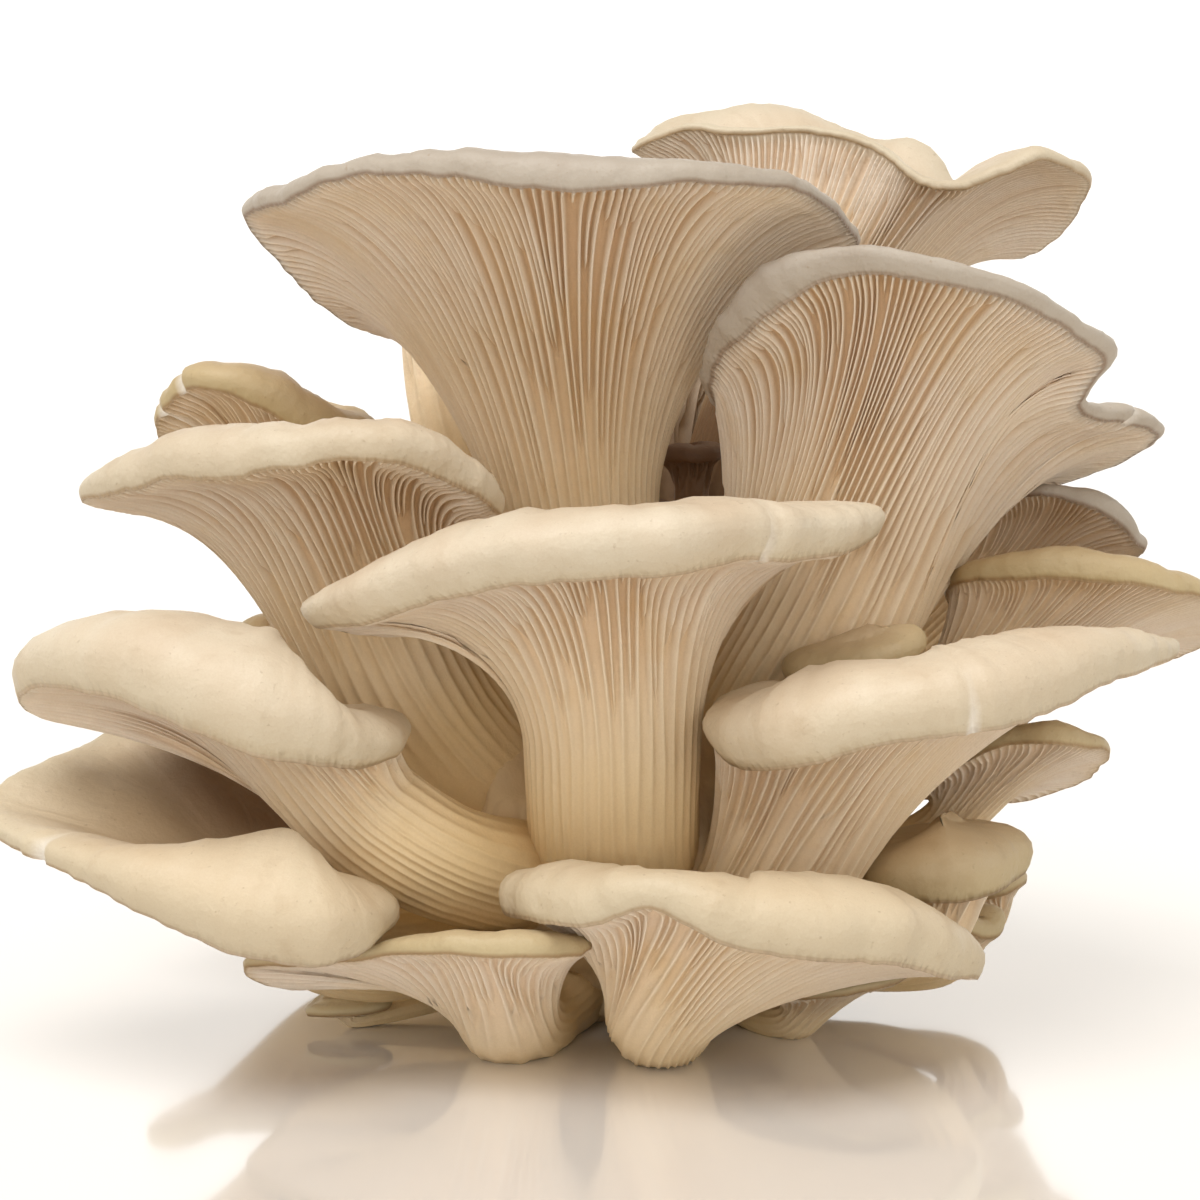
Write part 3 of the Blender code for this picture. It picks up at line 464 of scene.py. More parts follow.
PLANS["mushroom_top_back"] = dict(
    rim=[(0, 62, 142.5, 1.5), (8.5, 54, 146.5, 1.3), (19, 52, 146, 1.2), (30.5, 50, 146.5, 1.2),
         (42, 42, 143.5, 1.5), (49.5, 31, 138.5, 2), (56.5, 26, 137, 2), (63.5, 25.5, 140, 2),
         (70.5, 27, 142, 2), (79, 36, 139.5, 2), (80.5, 44, 135, 2), (78, 52, 129, 2),
         (71, 60, 123.5, 2), (65, 67, 125.5, 2), (60, 74, 133, 2), (54, 80, 141, 2.2),
         (46, 83, 142, 2.2), (38, 85, 144.5, 2.2), (27.5, 86, 148, 2), (15.5, 82, 148, 2),
         (5, 74, 145.5, 2)],
    heart=(39, 57, 125), root=(8, 16, 50), bend=(13, 39, 66), neck=(25.5, 50, 97),
    radii=(10, 12.5), tone="pale", pitch=1.2, gentle=0.65,
)
PLANS["mushroom_back_tall"] = dict(
    rim=oval_rim((-24, 68, 124), 23, 21, -2, -3, 3.5, 3, 2.0, 0.9),
    heart=(-24, 67, 117), root=(-7, 16, 50), bend=(-24, 34, 68), neck=(-32, 48, 96),
    radii=(8, 8), tone="grey",
)
PLANS["mushroom_bud_left"] = dict(
    rim=oval_rim((-61, 20, 57), 9, 8, -1, 1, 4.5, 3, 0.8, 0.4),
    heart=(-61, 20, 59), root=(-14, 10, 28), bend=(-40, 16, 32), neck=(-54, 19, 47),
    radii=(4, 4), tone="warm",
)
PLANS["mushroom_bud_floor"] = dict(
    rim=oval_rim((-48, -22, 3.4), 7, 6, 0.6, 0.2, 1.7, 3, 0.2, 0.9),
    heart=(-48, -22, 6), root=(-10, -4, 8), bend=(-47, -21.5, 0), neck=(-48, -22, 1.6),
    radii=(2.4, 1.2), tone="warm",
)
PLANS["bud_inner_1"] = dict(
    rim=oval_rim((10, 26, 90), 5, 4.5, 0.5, -0.5, 3, 2, 0.3, 0.3),
    heart=(10, 26, 92.5), root=(4, 12, 50), bend=(8, 26, 62), neck=(10, 26, 84),
    radii=(3.5, 3), tone="grey",
)
PLANS["bud_inner_2"] = dict(
    rim=oval_rim((2, 32, 80), 4.5, 4, -0.5, 0.5, 2.5, 3, 0.3, 0.8),
    heart=(2, 32, 82), root=(-2, 14, 50), bend=(0, 30, 58), neck=(2, 32, 74),
    radii=(3.2, 2.8), tone="grey",
)
PLANS["mushroom_rear_mid"] = dict(
    rim=oval_rim((2, 68, 104), 22, 17, 2, -4, 4, 3, 2.0, 0.2),
    heart=(2, 66, 98), root=(1, 12, 42), bend=(4, 40, 52), neck=(3, 52, 78),
    radii=(9, 9), tone="pale",
)
PLANS["mushroom_rear_left"] = dict(
    rim=oval_rim((-46, 56, 48), 27, 21, -4, -4, 4, 3, 2.0, 1.2),
    heart=(-44, 54, 42), root=(-10, 12, 28), bend=(-24, 32, 22), neck=(-34, 42, 30),
    radii=(8.5, 9), tone="pale",
    nicks=[(-60, 72, 45, 1.2, 1.8)],
)
PLANS["mushroom_rear_right"] = dict(
    rim=oval_rim((50, 55, 42), 27, 21, 4, -4, 4, 3, 2.0, 2.0),
    heart=(48, 53, 36), root=(12, 10, 26), bend=(26, 30, 20), neck=(37, 41, 26),
    radii=(8.5, 9), tone="pale",
)
PLANS["mushroom_rear_low"] = dict(
    rim=oval_rim((2, 68, 26), 26, 19, 0, -4, 4, 3, 1.6, 0.7),
    heart=(2, 66, 21), root=(1, 12, 16), bend=(2, 34, 10), neck=(2, 48, 13),
    radii=(8, 8.5), tone="warm",
)
PLANS["mushroom_left_low_back"] = dict(
    rim=oval_rim((-63, 24, 24), 22, 19, -3, 2, 4, 3, 1.6, 2.6),
    heart=(-61, 24, 19), root=(-12, 4, 16), bend=(-45, 18, 5), neck=(-54, 22, 12),
    radii=(7, 7), tone="warm",
)


def lengths(vectors):
    return np.linalg.norm(vectors, axis=-1)


def unit(vectors):
    """Vectors scaled to length one."""
    return vectors / np.maximum(lengths(vectors)[..., None], 1e-9)


def smoothstep(low, high, x):
    """0 below low and 1 above high, with a smooth rise between them."""
    t = np.clip((x - low) / (high - low), 0, 1)
    return t * t * (3 - 2 * t)


def bezier(p0, p1, p2, p3, t):
    """Cubic curve from p0 to p3."""
    s = 1 - t
    return s ** 3 * p0 + 3 * s * s * t * p1 + 3 * s * t * t * p2 + t ** 3 * p3


def rim_curve(points, count):
    """Closed smooth curve through the points, resampled at even lengths, and its length."""
    here = np.array(points, float)
    before, after, beyond = np.roll(here, 1, 0), np.roll(here, -1, 0), np.roll(here, -2, 0)

    def spacing(a, b):
        return lengths((b - a)[:, :3])[:, None] ** 0.5

    d0, d1, d2 = spacing(before, here), spacing(here, after), spacing(after, beyond)
    leave = d1 * ((here - before) / d0 - (after - before) / (d0 + d1) + (after - here) / d1)
    arrive = d1 * ((after - here) / d1 - (beyond - here) / (d1 + d2) + (beyond - after) / d2)
    fine = np.linspace(0, 1, CURVE_STEPS, endpoint=False)
    rows = [bezier(here, here + leave / 3, after - arrive / 3, after, t) for t in fine]
    dense = np.stack(rows, axis=1).reshape(-1, 4)
    loop = np.vstack([dense, dense[:1]])
    steps = lengths(np.diff(loop[:, :3], axis=0))
    length = np.concatenate([[0], np.cumsum(steps)])
    marks = np.linspace(0, length[-1], count, endpoint=False)
    columns = [np.interp(marks, length, loop[:, k]) for k in range(4)]
    return np.stack(columns, axis=1), length[-1]


def facing(rim):
    """The direction that a closed ring of points faces."""
    return unit(np.cross(rim, np.roll(rim, -1, 0)).sum(axis=0))


class Stem:
    """The stem's middle line, with a frame that doesn't twist."""

    def __init__(self, plan):
        ends = (plan["root"], plan["bend"], plan["neck"])
        self.root, self.bend, self.neck = (np.array(end, float) for end in ends)
        self.radii = plan["radii"]
        self.steps = np.linspace(0, 1, STEM_STEPS)
        self.axis = unit(np.array([self.heading(s) for s in self.steps]))
        side = np.zeros_like(self.axis)
        lies_along_x = abs(self.axis[-1][0]) >= ALONG_X
        start = np.array((0.0, 1.0, 0.0) if lies_along_x else (1.0, 0.0, 0.0))
        side[-1] = unit(start - self.axis[-1] * (start @ self.axis[-1]))
        for k in range(len(self.steps) - 2, -1, -1):
            side[k] = unit(side[k + 1] - self.axis[k] * (side[k + 1] @ self.axis[k]))
        self.side = side

    def heading(self, s):
        return (1 - s) * (self.bend - self.root) + s * (self.neck - self.bend)

    def middle(self, s):
        return (1 - s) ** 2 * self.root + 2 * s * (1 - s) * self.bend + s * s * self.neck

    def length(self):
        line = [self.middle(s) for s in self.steps]
        return float(lengths(np.diff(line, axis=0)).sum())

    def ring(self, s, angles):
        """Points round the stem at s, from 0 at the root to 1 at the neck, and the way out."""
        k = int(round(s * (len(self.steps) - 1)))
        across = np.cross(self.axis[k], self.side[k])
        radius = self.radii[0] + (self.radii[1] - self.radii[0]) * s
        spokes = np.cos(angles)[:, None] * self.side[k] + np.sin(angles)[:, None] * across
        return self.middle(s) + radius * spokes, spokes

    def spread(self, rim):
        """Angle round the neck for each point of the rim, always turning one way."""
        across = np.cross(self.axis[-1], self.side[-1])
        out = rim - self.neck
        seen = np.unwrap(np.arctan2(out @ across, out @ self.side[-1]))
        steps = np.diff(np.append(seen, seen[0] + math.tau))
        even = math.tau / len(rim)
        steps = (1 - EVEN_SPREAD) * steps + EVEN_SPREAD * even
        steps = np.clip(steps, LEAST_SPREAD * even, MOST_SPREAD * even)
        steps *= math.tau / steps.sum()
        return seen[0] + np.concatenate([[0], np.cumsum(steps)[:-1]])


def sway(places, waves, rng):
    """Smooth random values from about -1 to 1 at the places, made of sines."""
    total = np.zeros(len(places))
    for length, share in waves:
        for _ in range(SINES_A_WAVE):
            toward = unit(rng.normal(size=places.shape[1]))
            pace = math.tau / (length * rng.uniform(*SINE_LENGTHS))
            shift = rng.uniform(0, math.tau)
            total += share / SINES_A_WAVE ** 0.5 * np.sin(places @ toward * pace + shift)
    return total


def streaks(columns, knots, rng):
    """A table of random values for streaks: a few knots along, and one value per column."""
    single = rng.normal(size=(knots, columns))
    broad = single.copy()
    for _ in range(STREAK_BLURS):
        broad = (np.roll(broad, 1, 1) + 2 * broad + np.roll(broad, -1, 1)) / 4
    groups, aside = columns // STREAK_WIDTH, STREAK_WIDTH // 2
    broader = np.repeat(rng.normal(size=(knots, groups)), STREAK_WIDTH, axis=1)
    broader = (np.roll(broader, aside, 1) + broader + np.roll(broader, -aside, 1)) / 3
    parts = zip(STREAK_SHARES, (single, broad, broader))
    return np.clip(sum(share * part for share, part in parts), -1, 1)


def from_table(table, along, columns):
    """Values of a streak table at one place along, from 0 to 1, for the given columns."""
    place = along * (len(table) - 1)
    low = min(int(place), len(table) - 2)
    share = place - low
    return table[low, columns] * (1 - share) + table[low + 1, columns] * share


class Section:
    """A mushroom's section all the way round, sampled finely at even lengths of its rim."""

    def __init__(self, name, plan, rng):
        length = rim_curve(plan["rim"], FINE)[1]
        pitch = plan.get("pitch", BUD_PITCH if "bud" in name else PITCH)
        self.gills = FINE * round(length / pitch / FINE)
        self.count = FINE * self.gills
        curve, self.length = rim_curve(plan["rim"], self.count)
        rim, self.crest = curve[:, :3], curve[:, 3:]
        self.size = float(np.clip(self.length / FULL_SIZE_RIM, LEAST_SIZE, 1.0))
        self.gentle = plan.get("gentle", 1.0)
        self.up = facing(rim)
        self.heart = np.array(plan["heart"], float)
        self.roll = plan.get("roll", SKIN_ROLL)
        self.stem = Stem(plan)
        self.angles = self.stem.spread(rim)
        along = unit(np.roll(rim, -1, 0) - np.roll(rim, 1, 0))
        radial = rim - self.heart
        radial = unit(radial - (radial @ self.up)[:, None] * self.up)
        self.out = unit(np.cross(along, self.up) + radial)
        self.lift = unit(self.up - along * (along @ self.up)[:, None])
        self.rim, self.scar = self.worn_rim(rim, plan.get("nicks", ()), rng)

        self.neck = self.stem.ring(1.0, self.angles)[0]
        reach = lengths(rim - self.neck)[:, None]
        self.reach = float(reach.mean())
        concave = HOLLOW_UNDER_CREST * np.maximum(0.0, self.crest - FLESH)
        neck_pull, rim_pull = plan.get("pulls", PULLS)
        self.leave = self.neck + self.stem.axis[-1] * neck_pull * reach
        sideways = np.maximum(0.0, ((rim - self.neck) * self.out).sum(axis=1))[:, None]
        drawn_in = rim_pull * np.minimum(reach, OVERHANG + SIDEWAYS_REACH * sideways)
        self.arrive = rim - self.out * drawn_in + self.lift * concave

    def worn_rim(self, rim, nicks, rng):
        """The rim with its fine crimps and nicks, and how near each point is to a nick."""
        crimp = sway(rim, CRIMPS, rng)[:, None] * self.size * CRIMP_UP
        wander = sway(rim, CRIMPS, rng)[:, None] * self.size * CRIMP_OUT
        worn = rim + self.lift * crimp + self.out * wander
        scar = np.zeros(self.count)
        for *place, half_width, depth in nicks:
            middle = lengths(rim - place).argmin()
            half = self.count // 2
            steps = np.abs((np.arange(self.count) - middle + half) % self.count - half)
            notch = np.exp(-(steps * self.length / self.count / half_width) ** 2)
            worn = worn - self.out * (depth * notch)[:, None]
            scar = np.maximum(scar, notch)
        return worn, scar

    def row(self, t):
        """Points of the smooth underside, t from the neck to the rim, with the way out of it
        and the share of a gill's height that there is room for."""
        parts = (self.neck, self.leave, self.arrive, self.rim)
        points = bezier(*parts, t)
        ahead = bezier(*parts, min(1.0, t + SLOPE_STEP))
        behind = bezier(*parts, max(0.0, t - SLOPE_STEP))
        round_way = np.roll(points, -1, 0) - np.roll(points, 1, 0)
        width = lengths(round_way)
        room = np.clip(width / (ROOM_FOR_GILLS * np.median(width)), LEAST_ROOM, 1)
        return points, unit(np.cross(round_way, ahead - behind)), room[:, None]

    def at(self, values, marks):
        """Values of the fine samples at the marks, which are counted in gills."""
        fine = np.arange(self.count) / FINE
        columns = [np.interp(marks, fine, column, period=self.gills) for column in values.T]
        return np.stack(columns, axis=1)

    def angles_at(self, marks):
        """Angles round the neck at the marks."""
        fine = np.arange(-FINE, self.count + FINE) / FINE
        before, after = self.angles[-FINE:] - math.tau, self.angles[:FINE] + math.tau
        return np.interp(marks, fine, np.concatenate([before, self.angles, after]))


class Gills:
    """The traits of each gill of a cap: every fourth one runs down on the stem."""

    def __init__(self, section, rng):
        self.count = section.gills
        number = np.arange(self.count)
        self.rank = np.where(number % 4 == 0, 0, np.where(number % 2 == 0, 1, 2))
        late = rng.uniform(0, 1, self.count)
        self.start = np.take(RANK_STARTS, self.rank) + np.take(RANK_DELAYS, self.rank) * late
        self.shift = rng.uniform(-GILL_SHIFT, GILL_SHIFT, self.count)
        self.tall = rng.uniform(*TALLNESS, self.count)
        self.turns = rng.uniform(0, math.tau, len(WOBBLES))
        self.shade = streaks(self.count, GILL_KNOTS, rng)
        self.down = rng.uniform(*RUN_DOWN, self.count)

    def ring(self, t):
        """Four columns for each gill that a row has: their marks, heights, depth in the
        groove and the gill's number. t is below 0 on the stem and 1 at the rim."""
        ranks = 1 + sum(t >= start for start in RANK_STARTS[1:])
        picked = np.flatnonzero(self.rank < ranks)
        rank = self.rank[picked]
        inner = 1 - min(1.0, max(0.0, t))
        begun = smoothstep(0, GILL_ONSET, t - self.start[picked])
        grown = NARROWEST + (1 - NARROWEST) * begun
        half, wall = (
            np.choose(rank, (least + FIRST_GAIN * inner ** 2, least + gain * inner, least)) * grown
            for least, gain in zip((HALF_WIDTH, WALL_WIDTH), SECOND_GAINS)
        )
        centre = picked + self.shift[picked]
        for (spacing, amount, pace), turn in zip(WOBBLES, self.turns):
            cycles = max(1, round(self.count / spacing))
            phase = math.tau * (picked * cycles / self.count + pace * t) + turn
            centre = centre + amount * np.sin(phase)
        marks = centre[:, None] + np.stack([-half - wall, -half, half, half + wall], axis=1)
        top = GILL_RISE * self.tall[picked] * begun - GILL_SINK * (1 - begun)
        floor = np.full(len(picked), -GILL_SINK)
        heights = np.stack([floor, top, top, floor], axis=1)
        groove = np.clip((GILL_RISE - heights) / (GILL_RISE + GILL_SINK), 0, 1)
        return marks.ravel(), heights.ravel(), groove.ravel(), np.repeat(picked, 4)


def painted_shade_depth(points):
    """How deep in one of the crevices each point is, from 0 to 1: the share of painted shade there.
    """
    deepest = np.zeros(len(points))
    for *place, radius in PAINTED_SHADE_SPOTS:
        away = lengths(points - place) / radius
        deepest = np.maximum(deepest, 1 - smoothstep(PAINTED_SHADE_CORE, 1.0, away))
    return deepest


def new_object(name, data):
    """An object of the scene that shows the mesh, light or camera."""
    obj = bpy.data.objects.new(name, data)
    bpy.context.scene.collection.objects.link(obj)
    return obj


def around(ring):
    """Each number of a ring with the next one."""
    return zip(ring.tolist(), np.roll(ring, -1).tolist())


class Body:
    """A closed skin over rings of points, with the values that the material reads."""

    def __init__(self, turn):
        self.turn = turn
        self.points, self.faces = [], []
        self.values = {key: [] for key in VALUE_NAMES}
        self.total = 0
        self.last = None

    def add(self, points, values):
        """Points with their values, as the numbers that they have in the mesh."""
        numbers = np.arange(self.total, self.total + len(points))
        self.total += len(points)
        self.points.append(points)
        for key in VALUE_NAMES:
            self.values[key].append(np.zeros(len(points)) + values.get(key, 0.0))
        return numbers

    def tip(self, point, **values):
        """One point that closes an end: the first thing added, or the last."""
        number = int(self.add(np.array([point], float), values)[0])
        if self.last is not None:
            self.faces += [(number, a, b) for a, b in around(self.last[0])]

    def ring(self, points, marks, **values):
        """The next ring. Marks tell how far round its points are, from about 0 to the turn."""
        ring = self.add(points, values)
        if self.last is not None:
            self.join(*self.last, ring, marks)
        elif self.total > len(points):
            self.faces += [(0, b, a) for a, b in around(ring)]
        self.last = (ring, marks)

    def join(self, one, one_marks, two, two_marks):
        """Faces between two rings: quads, or triangles in the order of the marks."""
        if len(one) == len(two):
            self.faces += np.stack([one, np.roll(one, -1), np.roll(two, -1), two], axis=1).tolist()
            return
        one_ends = np.append(one_marks[1:], one_marks[0] + self.turn).tolist()
        two_ends = np.append(two_marks[1:], two_marks[0] + self.turn).tolist()
        one, two = one.tolist() + [int(one[0])], two.tolist() + [int(two[0])]
        i = j = 0
        while i < len(one_ends) or j < len(two_ends):
            if j == len(two_ends) or (i < len(one_ends) and one_ends[i] <= two_ends[j]):
                self.faces.append((one[i], one[i + 1], two[j]))
                i += 1
            else:
                self.faces.append((one[i], two[j + 1], two[j]))
                j += 1

    def make(self, name):
        """The object, in metres, with its values as attributes of the points."""
        mesh = bpy.data.meshes.new(name)
        points = np.vstack(self.points)
        points[:, 2] = np.maximum(points[:, 2], 0.0)
        # Painted shade, by how deep each point lies in a crevice.
        self.values["painted_shade"] = [painted_shade_depth(points)]
        mesh.from_pydata((points * MM).tolist(), [], self.faces)
        for key in VALUE_NAMES:
            attribute = mesh.attributes.new(key, "FLOAT", "POINT")
            values = np.concatenate(self.values[key]).astype(np.float32)
            attribute.data.foreach_set("value", values)
        mesh.shade_smooth()
        return new_object(name, mesh)


def add_stem(body, section, gills, rng):
    """Rings up the stem, with the long gills fading out on it."""
    stem = section.stem
    body.tip(stem.root, groove=ROOT_GROOVE)
    rows = max(LEAST_STEM_ROWS, round(stem.length() / STEM_SPACING))
    relief_seed = rng.integers(1 << 30)
    for step in range(rows):
        s = step / rows
        marks, heights, groove, number = gills.ring(s - 1)
        angles = section.angles_at(marks)
        points, spokes = stem.ring(s, angles)
        gain = (HEIGHT_AT_NECK - HEIGHT_ON_STEM) * smoothstep(STEM_HEIGHT_FROM, 1.0, s)
        strength = (HEIGHT_ON_STEM + gain) * section.gentle
        relief = sway(points, STEM_RELIEF, np.random.default_rng(relief_seed)) * STEM_RELIEF_HEIGHT
        foot = STEM_FOOT_FLARE * math.exp(-(s / STEM_FOOT_REACH) ** 2) * stem.radii[0]
        uneven = 1 + (gills.down[number] - 1) * (1 - smoothstep(RUN_DOWN_UNTIL, 1.0, s))
        outward = heights * uneven * section.size * strength
        outward = outward + relief * section.size * (1 - s) + foot
        shade = from_table(gills.shade, 0.0, number)
        body.ring(
            points + spokes * outward[:, None], marks,
            groove=groove * strength, along=s, edge=EDGE_FAR, streak=shade,
        )


def add_underside(body, section, gills):
    """Rings from the neck to the rim, with all the gills."""
    rows = max(LEAST_ROWS, round(section.reach / ROW_SPACING))
    ts = [*np.linspace(0, LAST_ROWS[0], rows), *LAST_ROWS[1:]]
    below, inward = [], []
    for step, t in enumerate(ts):
        smooth, outward, room = section.row(t)
        if step % 2 == 0:
            below.append(smooth[::2 * FINE])
            inward.append(-outward[::2 * FINE])
        marks, heights, groove, number = gills.ring(t)
        to_rim = lengths(section.at(section.rim - smooth, marks))
        fade = np.clip(to_rim / (RIM_FADE * section.size), 0, 1)
        fade *= HEIGHT_AT_NECK + (1 - HEIGHT_AT_NECK) * smoothstep(0.0, FULL_HEIGHT_FROM, t)
        fade *= section.gentle * section.at(room, marks)[:, 0]
        normal = section.at(outward, marks)
        points = section.at(smooth, marks) + normal * (heights * fade * section.size)[:, None]
        shade = from_table(gills.shade, t, number)
        scar = section.at(section.scar[:, None], marks)[:, 0] * np.exp(-to_rim / SCAR_REACH)
        body.ring(
            points, marks, groove=groove * fade, along=1 + t, streak=shade, scar=scar,
            edge=np.minimum(to_rim, EDGE_FAR),
        )
    return np.vstack(below), np.vstack(inward)


def keep_apart(points, below, inward):
    """Moves points of the skin away from the underside where the flesh is too thin."""
    for _ in range(APART_ROUNDS):
        gaps = points[:, None, :] - below[None, :, :]
        nearest = (gaps ** 2).sum(axis=2).argmin(axis=1)
        gap = (gaps[np.arange(len(points)), nearest] * inward[nearest]).sum(axis=1)
        points = points + np.maximum(0.0, LEAST_FLESH - gap)[:, None] * inward[nearest]
    return points


def skin_grid(section, below, inward):
    """Rows of points of the smooth skin, from just over the rim to near the heart."""
    pick = slice(None, None, FINE)
    rim, crest = section.rim[pick], SKIN_RISE * section.crest[pick]
    out, lift = section.out[pick], section.lift[pick]
    rows = []
    for angle in ROLL_ANGLES:
        a = math.radians(angle)
        tuck = SKIN_SHOULDER * (1 - math.cos(a)) - section.roll * math.sin(2 * a)
        rows.append(rim + crest * (lift * math.sin(a) - out * tuck))
    shoulder = rows[-1]
    heart = section.heart
    away = shoulder - heart
    inside = lengths(away)[:, None]
    flat = unit(away - (away @ section.up)[:, None] * section.up)
    leave = shoulder - out * DISH_PULLS[0] * inside
    arrive = heart + flat * DISH_PULLS[1] * inside
    for step in range(1, DISH_ROWS):
        dish = bezier(shoulder, leave, arrive, heart, step / DISH_ROWS)
        rows.append(keep_apart(dish, below, inward))
    grid = np.stack(rows)
    first = len(ROLL_ANGLES)
    for _ in range(SMOOTHING_ROUNDS):
        round_way = (np.roll(grid, 1, 1) + np.roll(grid, -1, 1)) / 2
        down = (grid[first - 1:-2] + grid[first + 1:]) / 2
        kept = (1 - 2 * SMOOTHING_SHARE) * grid[first:-1]
        grid[first:-1] = kept + SMOOTHING_SHARE * round_way[first:-1] + SMOOTHING_SHARE * down
    return grid


def add_skin(body, section, below, inward, rng):
    """Rings of the skin from the rim to the heart, fewer points in each near the heart."""
    grid = skin_grid(section, below, inward)
    rim = section.rim[::FINE]
    stepped = np.concatenate([rim[None], grid])
    edge = np.cumsum(lengths(np.diff(stepped, axis=0)), axis=0)
    round_way = np.roll(grid, -1, 1) - np.roll(grid, 1, 1)
    onward = np.concatenate([stepped[1:], grid[-1:]])[1:] - stepped[:-1]
    normal = unit(np.cross(round_way, onward))
    relief = sway(grid.reshape(-1, 3), SKIN_RELIEF, rng).reshape(edge.shape) * SKIN_RELIEF_HEIGHT
    relief *= section.size * np.clip(edge / SKIN_RELIEF_FROM, 0, 1)
    shade = streaks(section.gills, SKIN_KNOTS, rng)
    knots = np.minimum(SKIN_KNOTS - 1, np.arange(len(grid)) // ROWS_A_KNOT)
    off_rim = np.clip(edge / SKIN_STREAKS_FROM, 0, 1)
    relief += SKIN_STREAK_HEIGHT * section.size * shade[knots] * off_rim
    grid = grid + normal * relief[:, :, None]
    last = len(grid) - 1
    for step, row in enumerate(grid):
        thinned = sum(step >= share * last for share in THINNING)
        columns = np.arange(0, section.gills, 2 ** thinned)
        scar = section.scar[::FINE] * np.exp(-edge[step] / SCAR_REACH)
        body.ring(
            row[columns], columns.astype(float), skin=1.0, along=2 + step / last,
            edge=np.minimum(edge[step][columns], EDGE_FAR), scar=scar[columns],
            streak=from_table(shade, step / last, columns),
        )
    body.tip(grid[-1].mean(axis=0), skin=1.0, along=3.0, edge=EDGE_FAR)


def make_mushroom(name, plan, rng):
    """One mushroom from its root to its heart, as one closed skin."""
    section = Section(name, plan, rng)
    gills = Gills(section, rng)
    body = Body(section.gills)
    add_stem(body, section, gills, rng)
    below, inward = add_underside(body, section, gills)
    add_skin(body, section, below, inward, rng)
    return body.make(name + "_flesh")


def make_base(rng):
    """The mound of fused stem ends: its lumps, and fibres that run up it."""
    rows, columns = BASE_RINGS, BASE_SIDES
    body = Body(columns)
    turn = np.arange(columns) * math.tau / columns
    relief_seed = rng.integers(1 << 30)
    pleat_turns = rng.uniform(0, math.tau, len(BASE_PLEATS))
    fibre = streaks(columns, BASE_KNOTS, rng)

    def surface(directions):
        reach = 1 / lengths(directions / np.array(BASE_HALF_SIZE))
        for *place, height in BASE_LUMPS:
            toward = unit(np.array(place, float))
            reach += height * np.exp(LUMP_SHARPNESS * (directions @ toward - 1))
        points = directions * reach[:, None]
        relief = sway(points, BASE_RELIEF, np.random.default_rng(relief_seed))
        angle = np.arctan2(directions[:, 1], directions[:, 0])
        pleat = np.zeros(len(directions))
        for k, (count, shift) in enumerate(zip(BASE_PLEATS, pleat_turns), 1):
            twist = BASE_PLEAT_TWIST * directions[:, 2] * k
            pleat += np.sin(count * angle + shift + twist) / k
        flatness = np.hypot(directions[:, 0], directions[:, 1])
        reach = reach + relief + BASE_PLEAT_DEPTH * pleat * flatness
        down = np.maximum(1e-6, -directions[:, 2])
        reach = np.where(directions[:, 2] < 0, np.minimum(reach, BASE_CENTRE[2] / down), reach)
        return np.array(BASE_CENTRE) + directions * reach[:, None]

    body.tip((0, 0, 0))
    for step in range(1, rows):
        polar = math.pi * (1 - step / rows)
        across, height = math.sin(polar), np.full(columns, math.cos(polar))
        directions = np.stack([np.cos(turn) * across, np.sin(turn) * across, height], axis=1)
        shade = from_table(fibre, step / rows, np.arange(columns))
        body.ring(surface(directions), turn, along=step / rows, streak=shade)
    body.tip(surface(np.array([(0.0, 0.0, 1.0)]))[0], along=1.0)
    return body.make("common_base_flesh")


class Nodes:
    """The nodes of a material or a world, put together from a few kinds of step."""

    def __init__(self, owner):
        owner.use_nodes = True
        self.tree = owner.node_tree

    def fill(self, node, inputs):
        """Sets or links a node's inputs: each is a number, a colour or a node's output."""
        for key, value in inputs.items():
            socket = node.inputs[key]
            if isinstance(value, bpy.types.NodeSocket):
                self.tree.links.new(value, socket)
            elif isinstance(value, tuple) and len(socket.default_value) == 4:
                socket.default_value = (*value, 1.0)
            else:
                socket.default_value = value

    def add(self, kind, inputs, output, **traits):
        """A new node, as one of its outputs."""
        node = self.tree.nodes.new("ShaderNode" + kind)
        for key, value in traits.items():
            setattr(node, key, value)
        self.fill(node, inputs)
        return node.outputs[output]

    def axis(self, space, axis):
        """One axis of the object's or the world's own space."""
        place = self.add("TexCoord", {}, space)
        return self.add("SeparateXYZ", {0: place}, axis)

    def noise(self, scale, detail, stretch=(1.0, 1.0, 1.0)):
        place = self.add("TexCoord", {}, "Object")
        place = self.add("Mapping", {"Vector": place, "Scale": stretch}, "Vector")
        return self.add("TexNoise", {"Vector": place, "Scale": scale, "Detail": detail}, "Fac")

    def math(self, operation, first, second):
        return self.add("Math", {0: first, 1: second}, 0, operation=operation)

    def span(self, value, numbers):
        """A value taken from one span to another: a low and a high value, and the new ones."""
        inputs = dict(zip(("From Min", "From Max", "To Min", "To Max"), numbers))
        return self.add("MapRange", {"Value": value, **inputs}, "Result")

    def mix(self, share, first, second):
        return self.add("Mix", {"Factor": share, 6: first, 7: second}, 2, data_type="RGBA")

    def layers(self, colour, layers, values, colours):
        for key, numbers, name in layers:
            colour = self.mix(self.span(values[key], numbers), colour, colours[name])
        return colour

    def finish(self, colour, roughness, bumps, values):
        """Gives the shader its colour, roughness and bumps."""
        inputs = {}
        for key, distance, strength in bumps:
            bump = {"Height": values[key], "Distance": distance, "Strength": strength, **inputs}
            inputs = {"Normal": self.add("Bump", bump, "Normal")}
        inputs.update({"Base Color": colour, "Roughness": roughness})
        inputs["Specular IOR Level"] = SPECULAR
        self.fill(self.tree.nodes["Principled BSDF"], inputs)


def new_flesh(name, value_names, noises):
    """A material with its nodes, and the values that its layers may follow."""
    material = bpy.data.materials.new(name)
    nodes = Nodes(material)
    values = {key: nodes.add("Attribute", {}, "Fac", attribute_name=key) for key in value_names}
    values.update({key: nodes.noise(*numbers) for key, numbers in noises.items()})
    return material, nodes, values


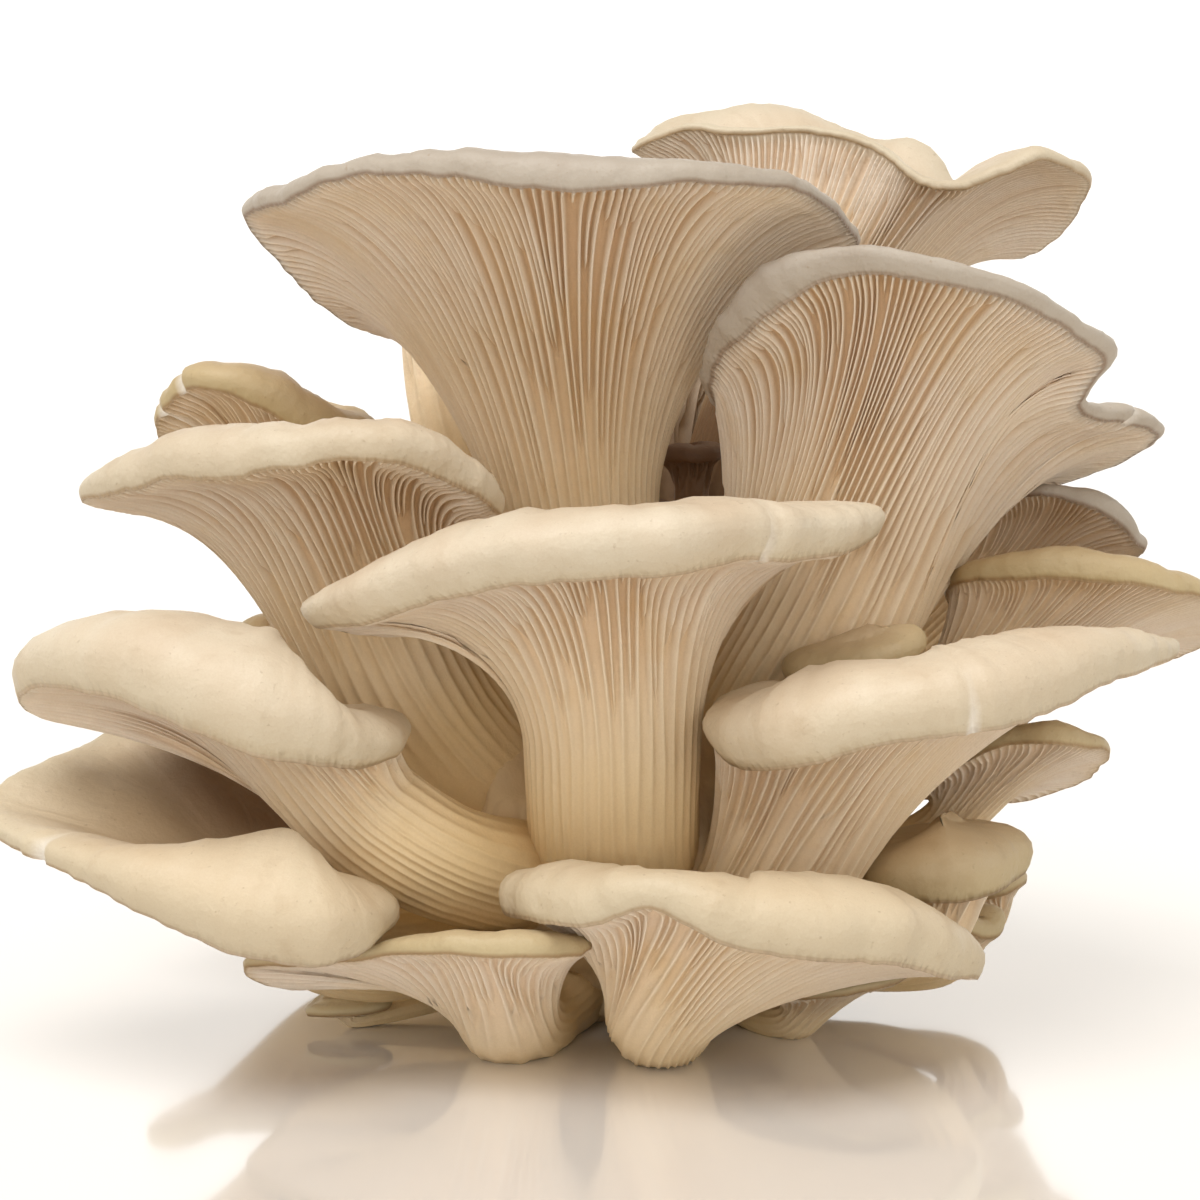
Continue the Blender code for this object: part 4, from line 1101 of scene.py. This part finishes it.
def cap_flesh(tone):
    """Mushroom flesh: gilled and fibrous below, with a satin skin on top."""
    material, nodes, values = new_flesh("cap_%s_flesh" % tone, VALUE_NAMES, FLESH_NOISES)
    values["height"] = nodes.axis("Object", "Z")
    margin = nodes.span(values["edge"], CRIMPED_MARGIN)
    values["crimped"] = nodes.math("MULTIPLY", values["crimp"], margin)

    on_flare = nodes.span(values["along"], ON_FLARE)
    blade = nodes.mix(on_flare, COLOURS["stem blade"], COLOURS["blade"])
    deep = nodes.mix(on_flare, COLOURS["stem groove"], COLOURS["groove"])
    colours = {**COLOURS, **dict(zip(TONE_KEYS, SKIN_TONES[tone])), "deep": deep}
    # Deeper in the grooves the colour darkens: partly the flesh's own tone, partly painted shade.
    depth = nodes.math("POWER", values["groove"], GROOVE_POWER)
    below = nodes.mix(nodes.math("MULTIPLY", depth, GROOVE_SHARE), blade, deep)
    below = nodes.layers(below, LAYERS_BELOW, values, colours)
    above = nodes.layers(colours["skin"], LAYERS_ABOVE, values, colours)
    colour = nodes.mix(nodes.span(values["skin"], ON_SKIN), below, above)
    colour = nodes.layers(colour, LAYERS_ON_BOTH, values, colours)
    roughness = nodes.span(values["middling"], FLESH_ROUGHNESS)
    nodes.finish(colour, roughness, FLESH_BUMPS, values)
    return material


def base_flesh():
    """Fibrous flesh of the fused stem ends, with darker streaks and blotches, and darker towards
    the bottom.
    """
    material, nodes, values = new_flesh("stem_base_flesh", BASE_VALUES, BASE_NOISES)
    colour = nodes.layers(COLOURS["base"], BASE_LAYERS, values, COLOURS)
    roughness = nodes.span(values["middling"], BASE_ROUGHNESS)
    nodes.finish(colour, roughness, BASE_BUMPS, values)
    return material


def make_floor():
    """A pale glossy table top."""
    mesh = bpy.data.meshes.new("floor")
    far = FLOOR_REACH
    corners = [(-far, -far, 0), (far, -far, 0), (far, far, 0), (-far, far, 0)]
    mesh.from_pydata(corners, [], [(0, 1, 2, 3)])
    lacquer = bpy.data.materials.new("floor_lacquer")
    nodes = Nodes(lacquer)
    nodes.fill(nodes.tree.nodes["Principled BSDF"], {
        "Base Color": FLOOR_COLOUR,
        "Roughness": FLOOR_ROUGHNESS,
        "Coat Weight": 1.0,
        "Coat Roughness": FLOOR_COAT_ROUGHNESS,
    })
    mesh.materials.append(lacquer)
    floor = new_object("floor", mesh)


def make_light():
    """The bright room, and a sun as soft as a large lamp."""
    scene = bpy.context.scene
    scene.view_settings.view_transform = "Standard"
    world = bpy.data.worlds.new("white_room")
    nodes = Nodes(world)
    top = nodes.span(nodes.axis("Generated", "Z"), BACKDROP_TOP)
    side = nodes.span(nodes.axis("Generated", "Y"), BACKDROP_SIDE)
    glow = nodes.math("MULTIPLY", top, side)
    nodes.fill(nodes.tree.nodes["Background"], {
        "Strength": nodes.span(glow, BACKDROP_STRENGTH),
        "Color": nodes.mix(glow, CEILING, BACKDROP),
    })
    scene.world = world
    sun = bpy.data.lights.new("softbox", "SUN")
    sun.energy = SUN_POWER
    sun.angle = SUN_ANGLE
    sun.color = SUN_COLOUR
    new_object("softbox", sun).rotation_euler = SUN_TILT


def make_camera():
    """A camera in front, looking a little down at the target."""
    data = bpy.data.cameras.new("camera")
    data.lens = FOCAL_LENGTH
    data.sensor_width = SENSOR
    camera = new_object("camera", data)
    x, y, z = TARGET
    camera.location = (x, y - DISTANCE * math.cos(ELEVATION), z + DISTANCE * math.sin(ELEVATION))
    camera.rotation_euler = (math.pi / 2 - ELEVATION, 0, 0)
    bpy.context.scene.camera = camera


def main():
    """The whole scene, with each piece riding on the body and given its material."""
    make_camera()
    make_light()
    make_floor()
    rng = np.random.default_rng(SEED)
    coats = {tone: cap_flesh(tone) for tone in SKIN_TONES}
    base = make_base(rng)
    base.data.materials.append(base_flesh())
    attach(base, "root")
    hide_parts("common_base")
    for name, plan in PLANS.items():
        piece = make_mushroom(name, plan, rng)
        piece.data.materials.append(coats[plan["tone"]])
        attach(piece, "root")
        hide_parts(name)


main()
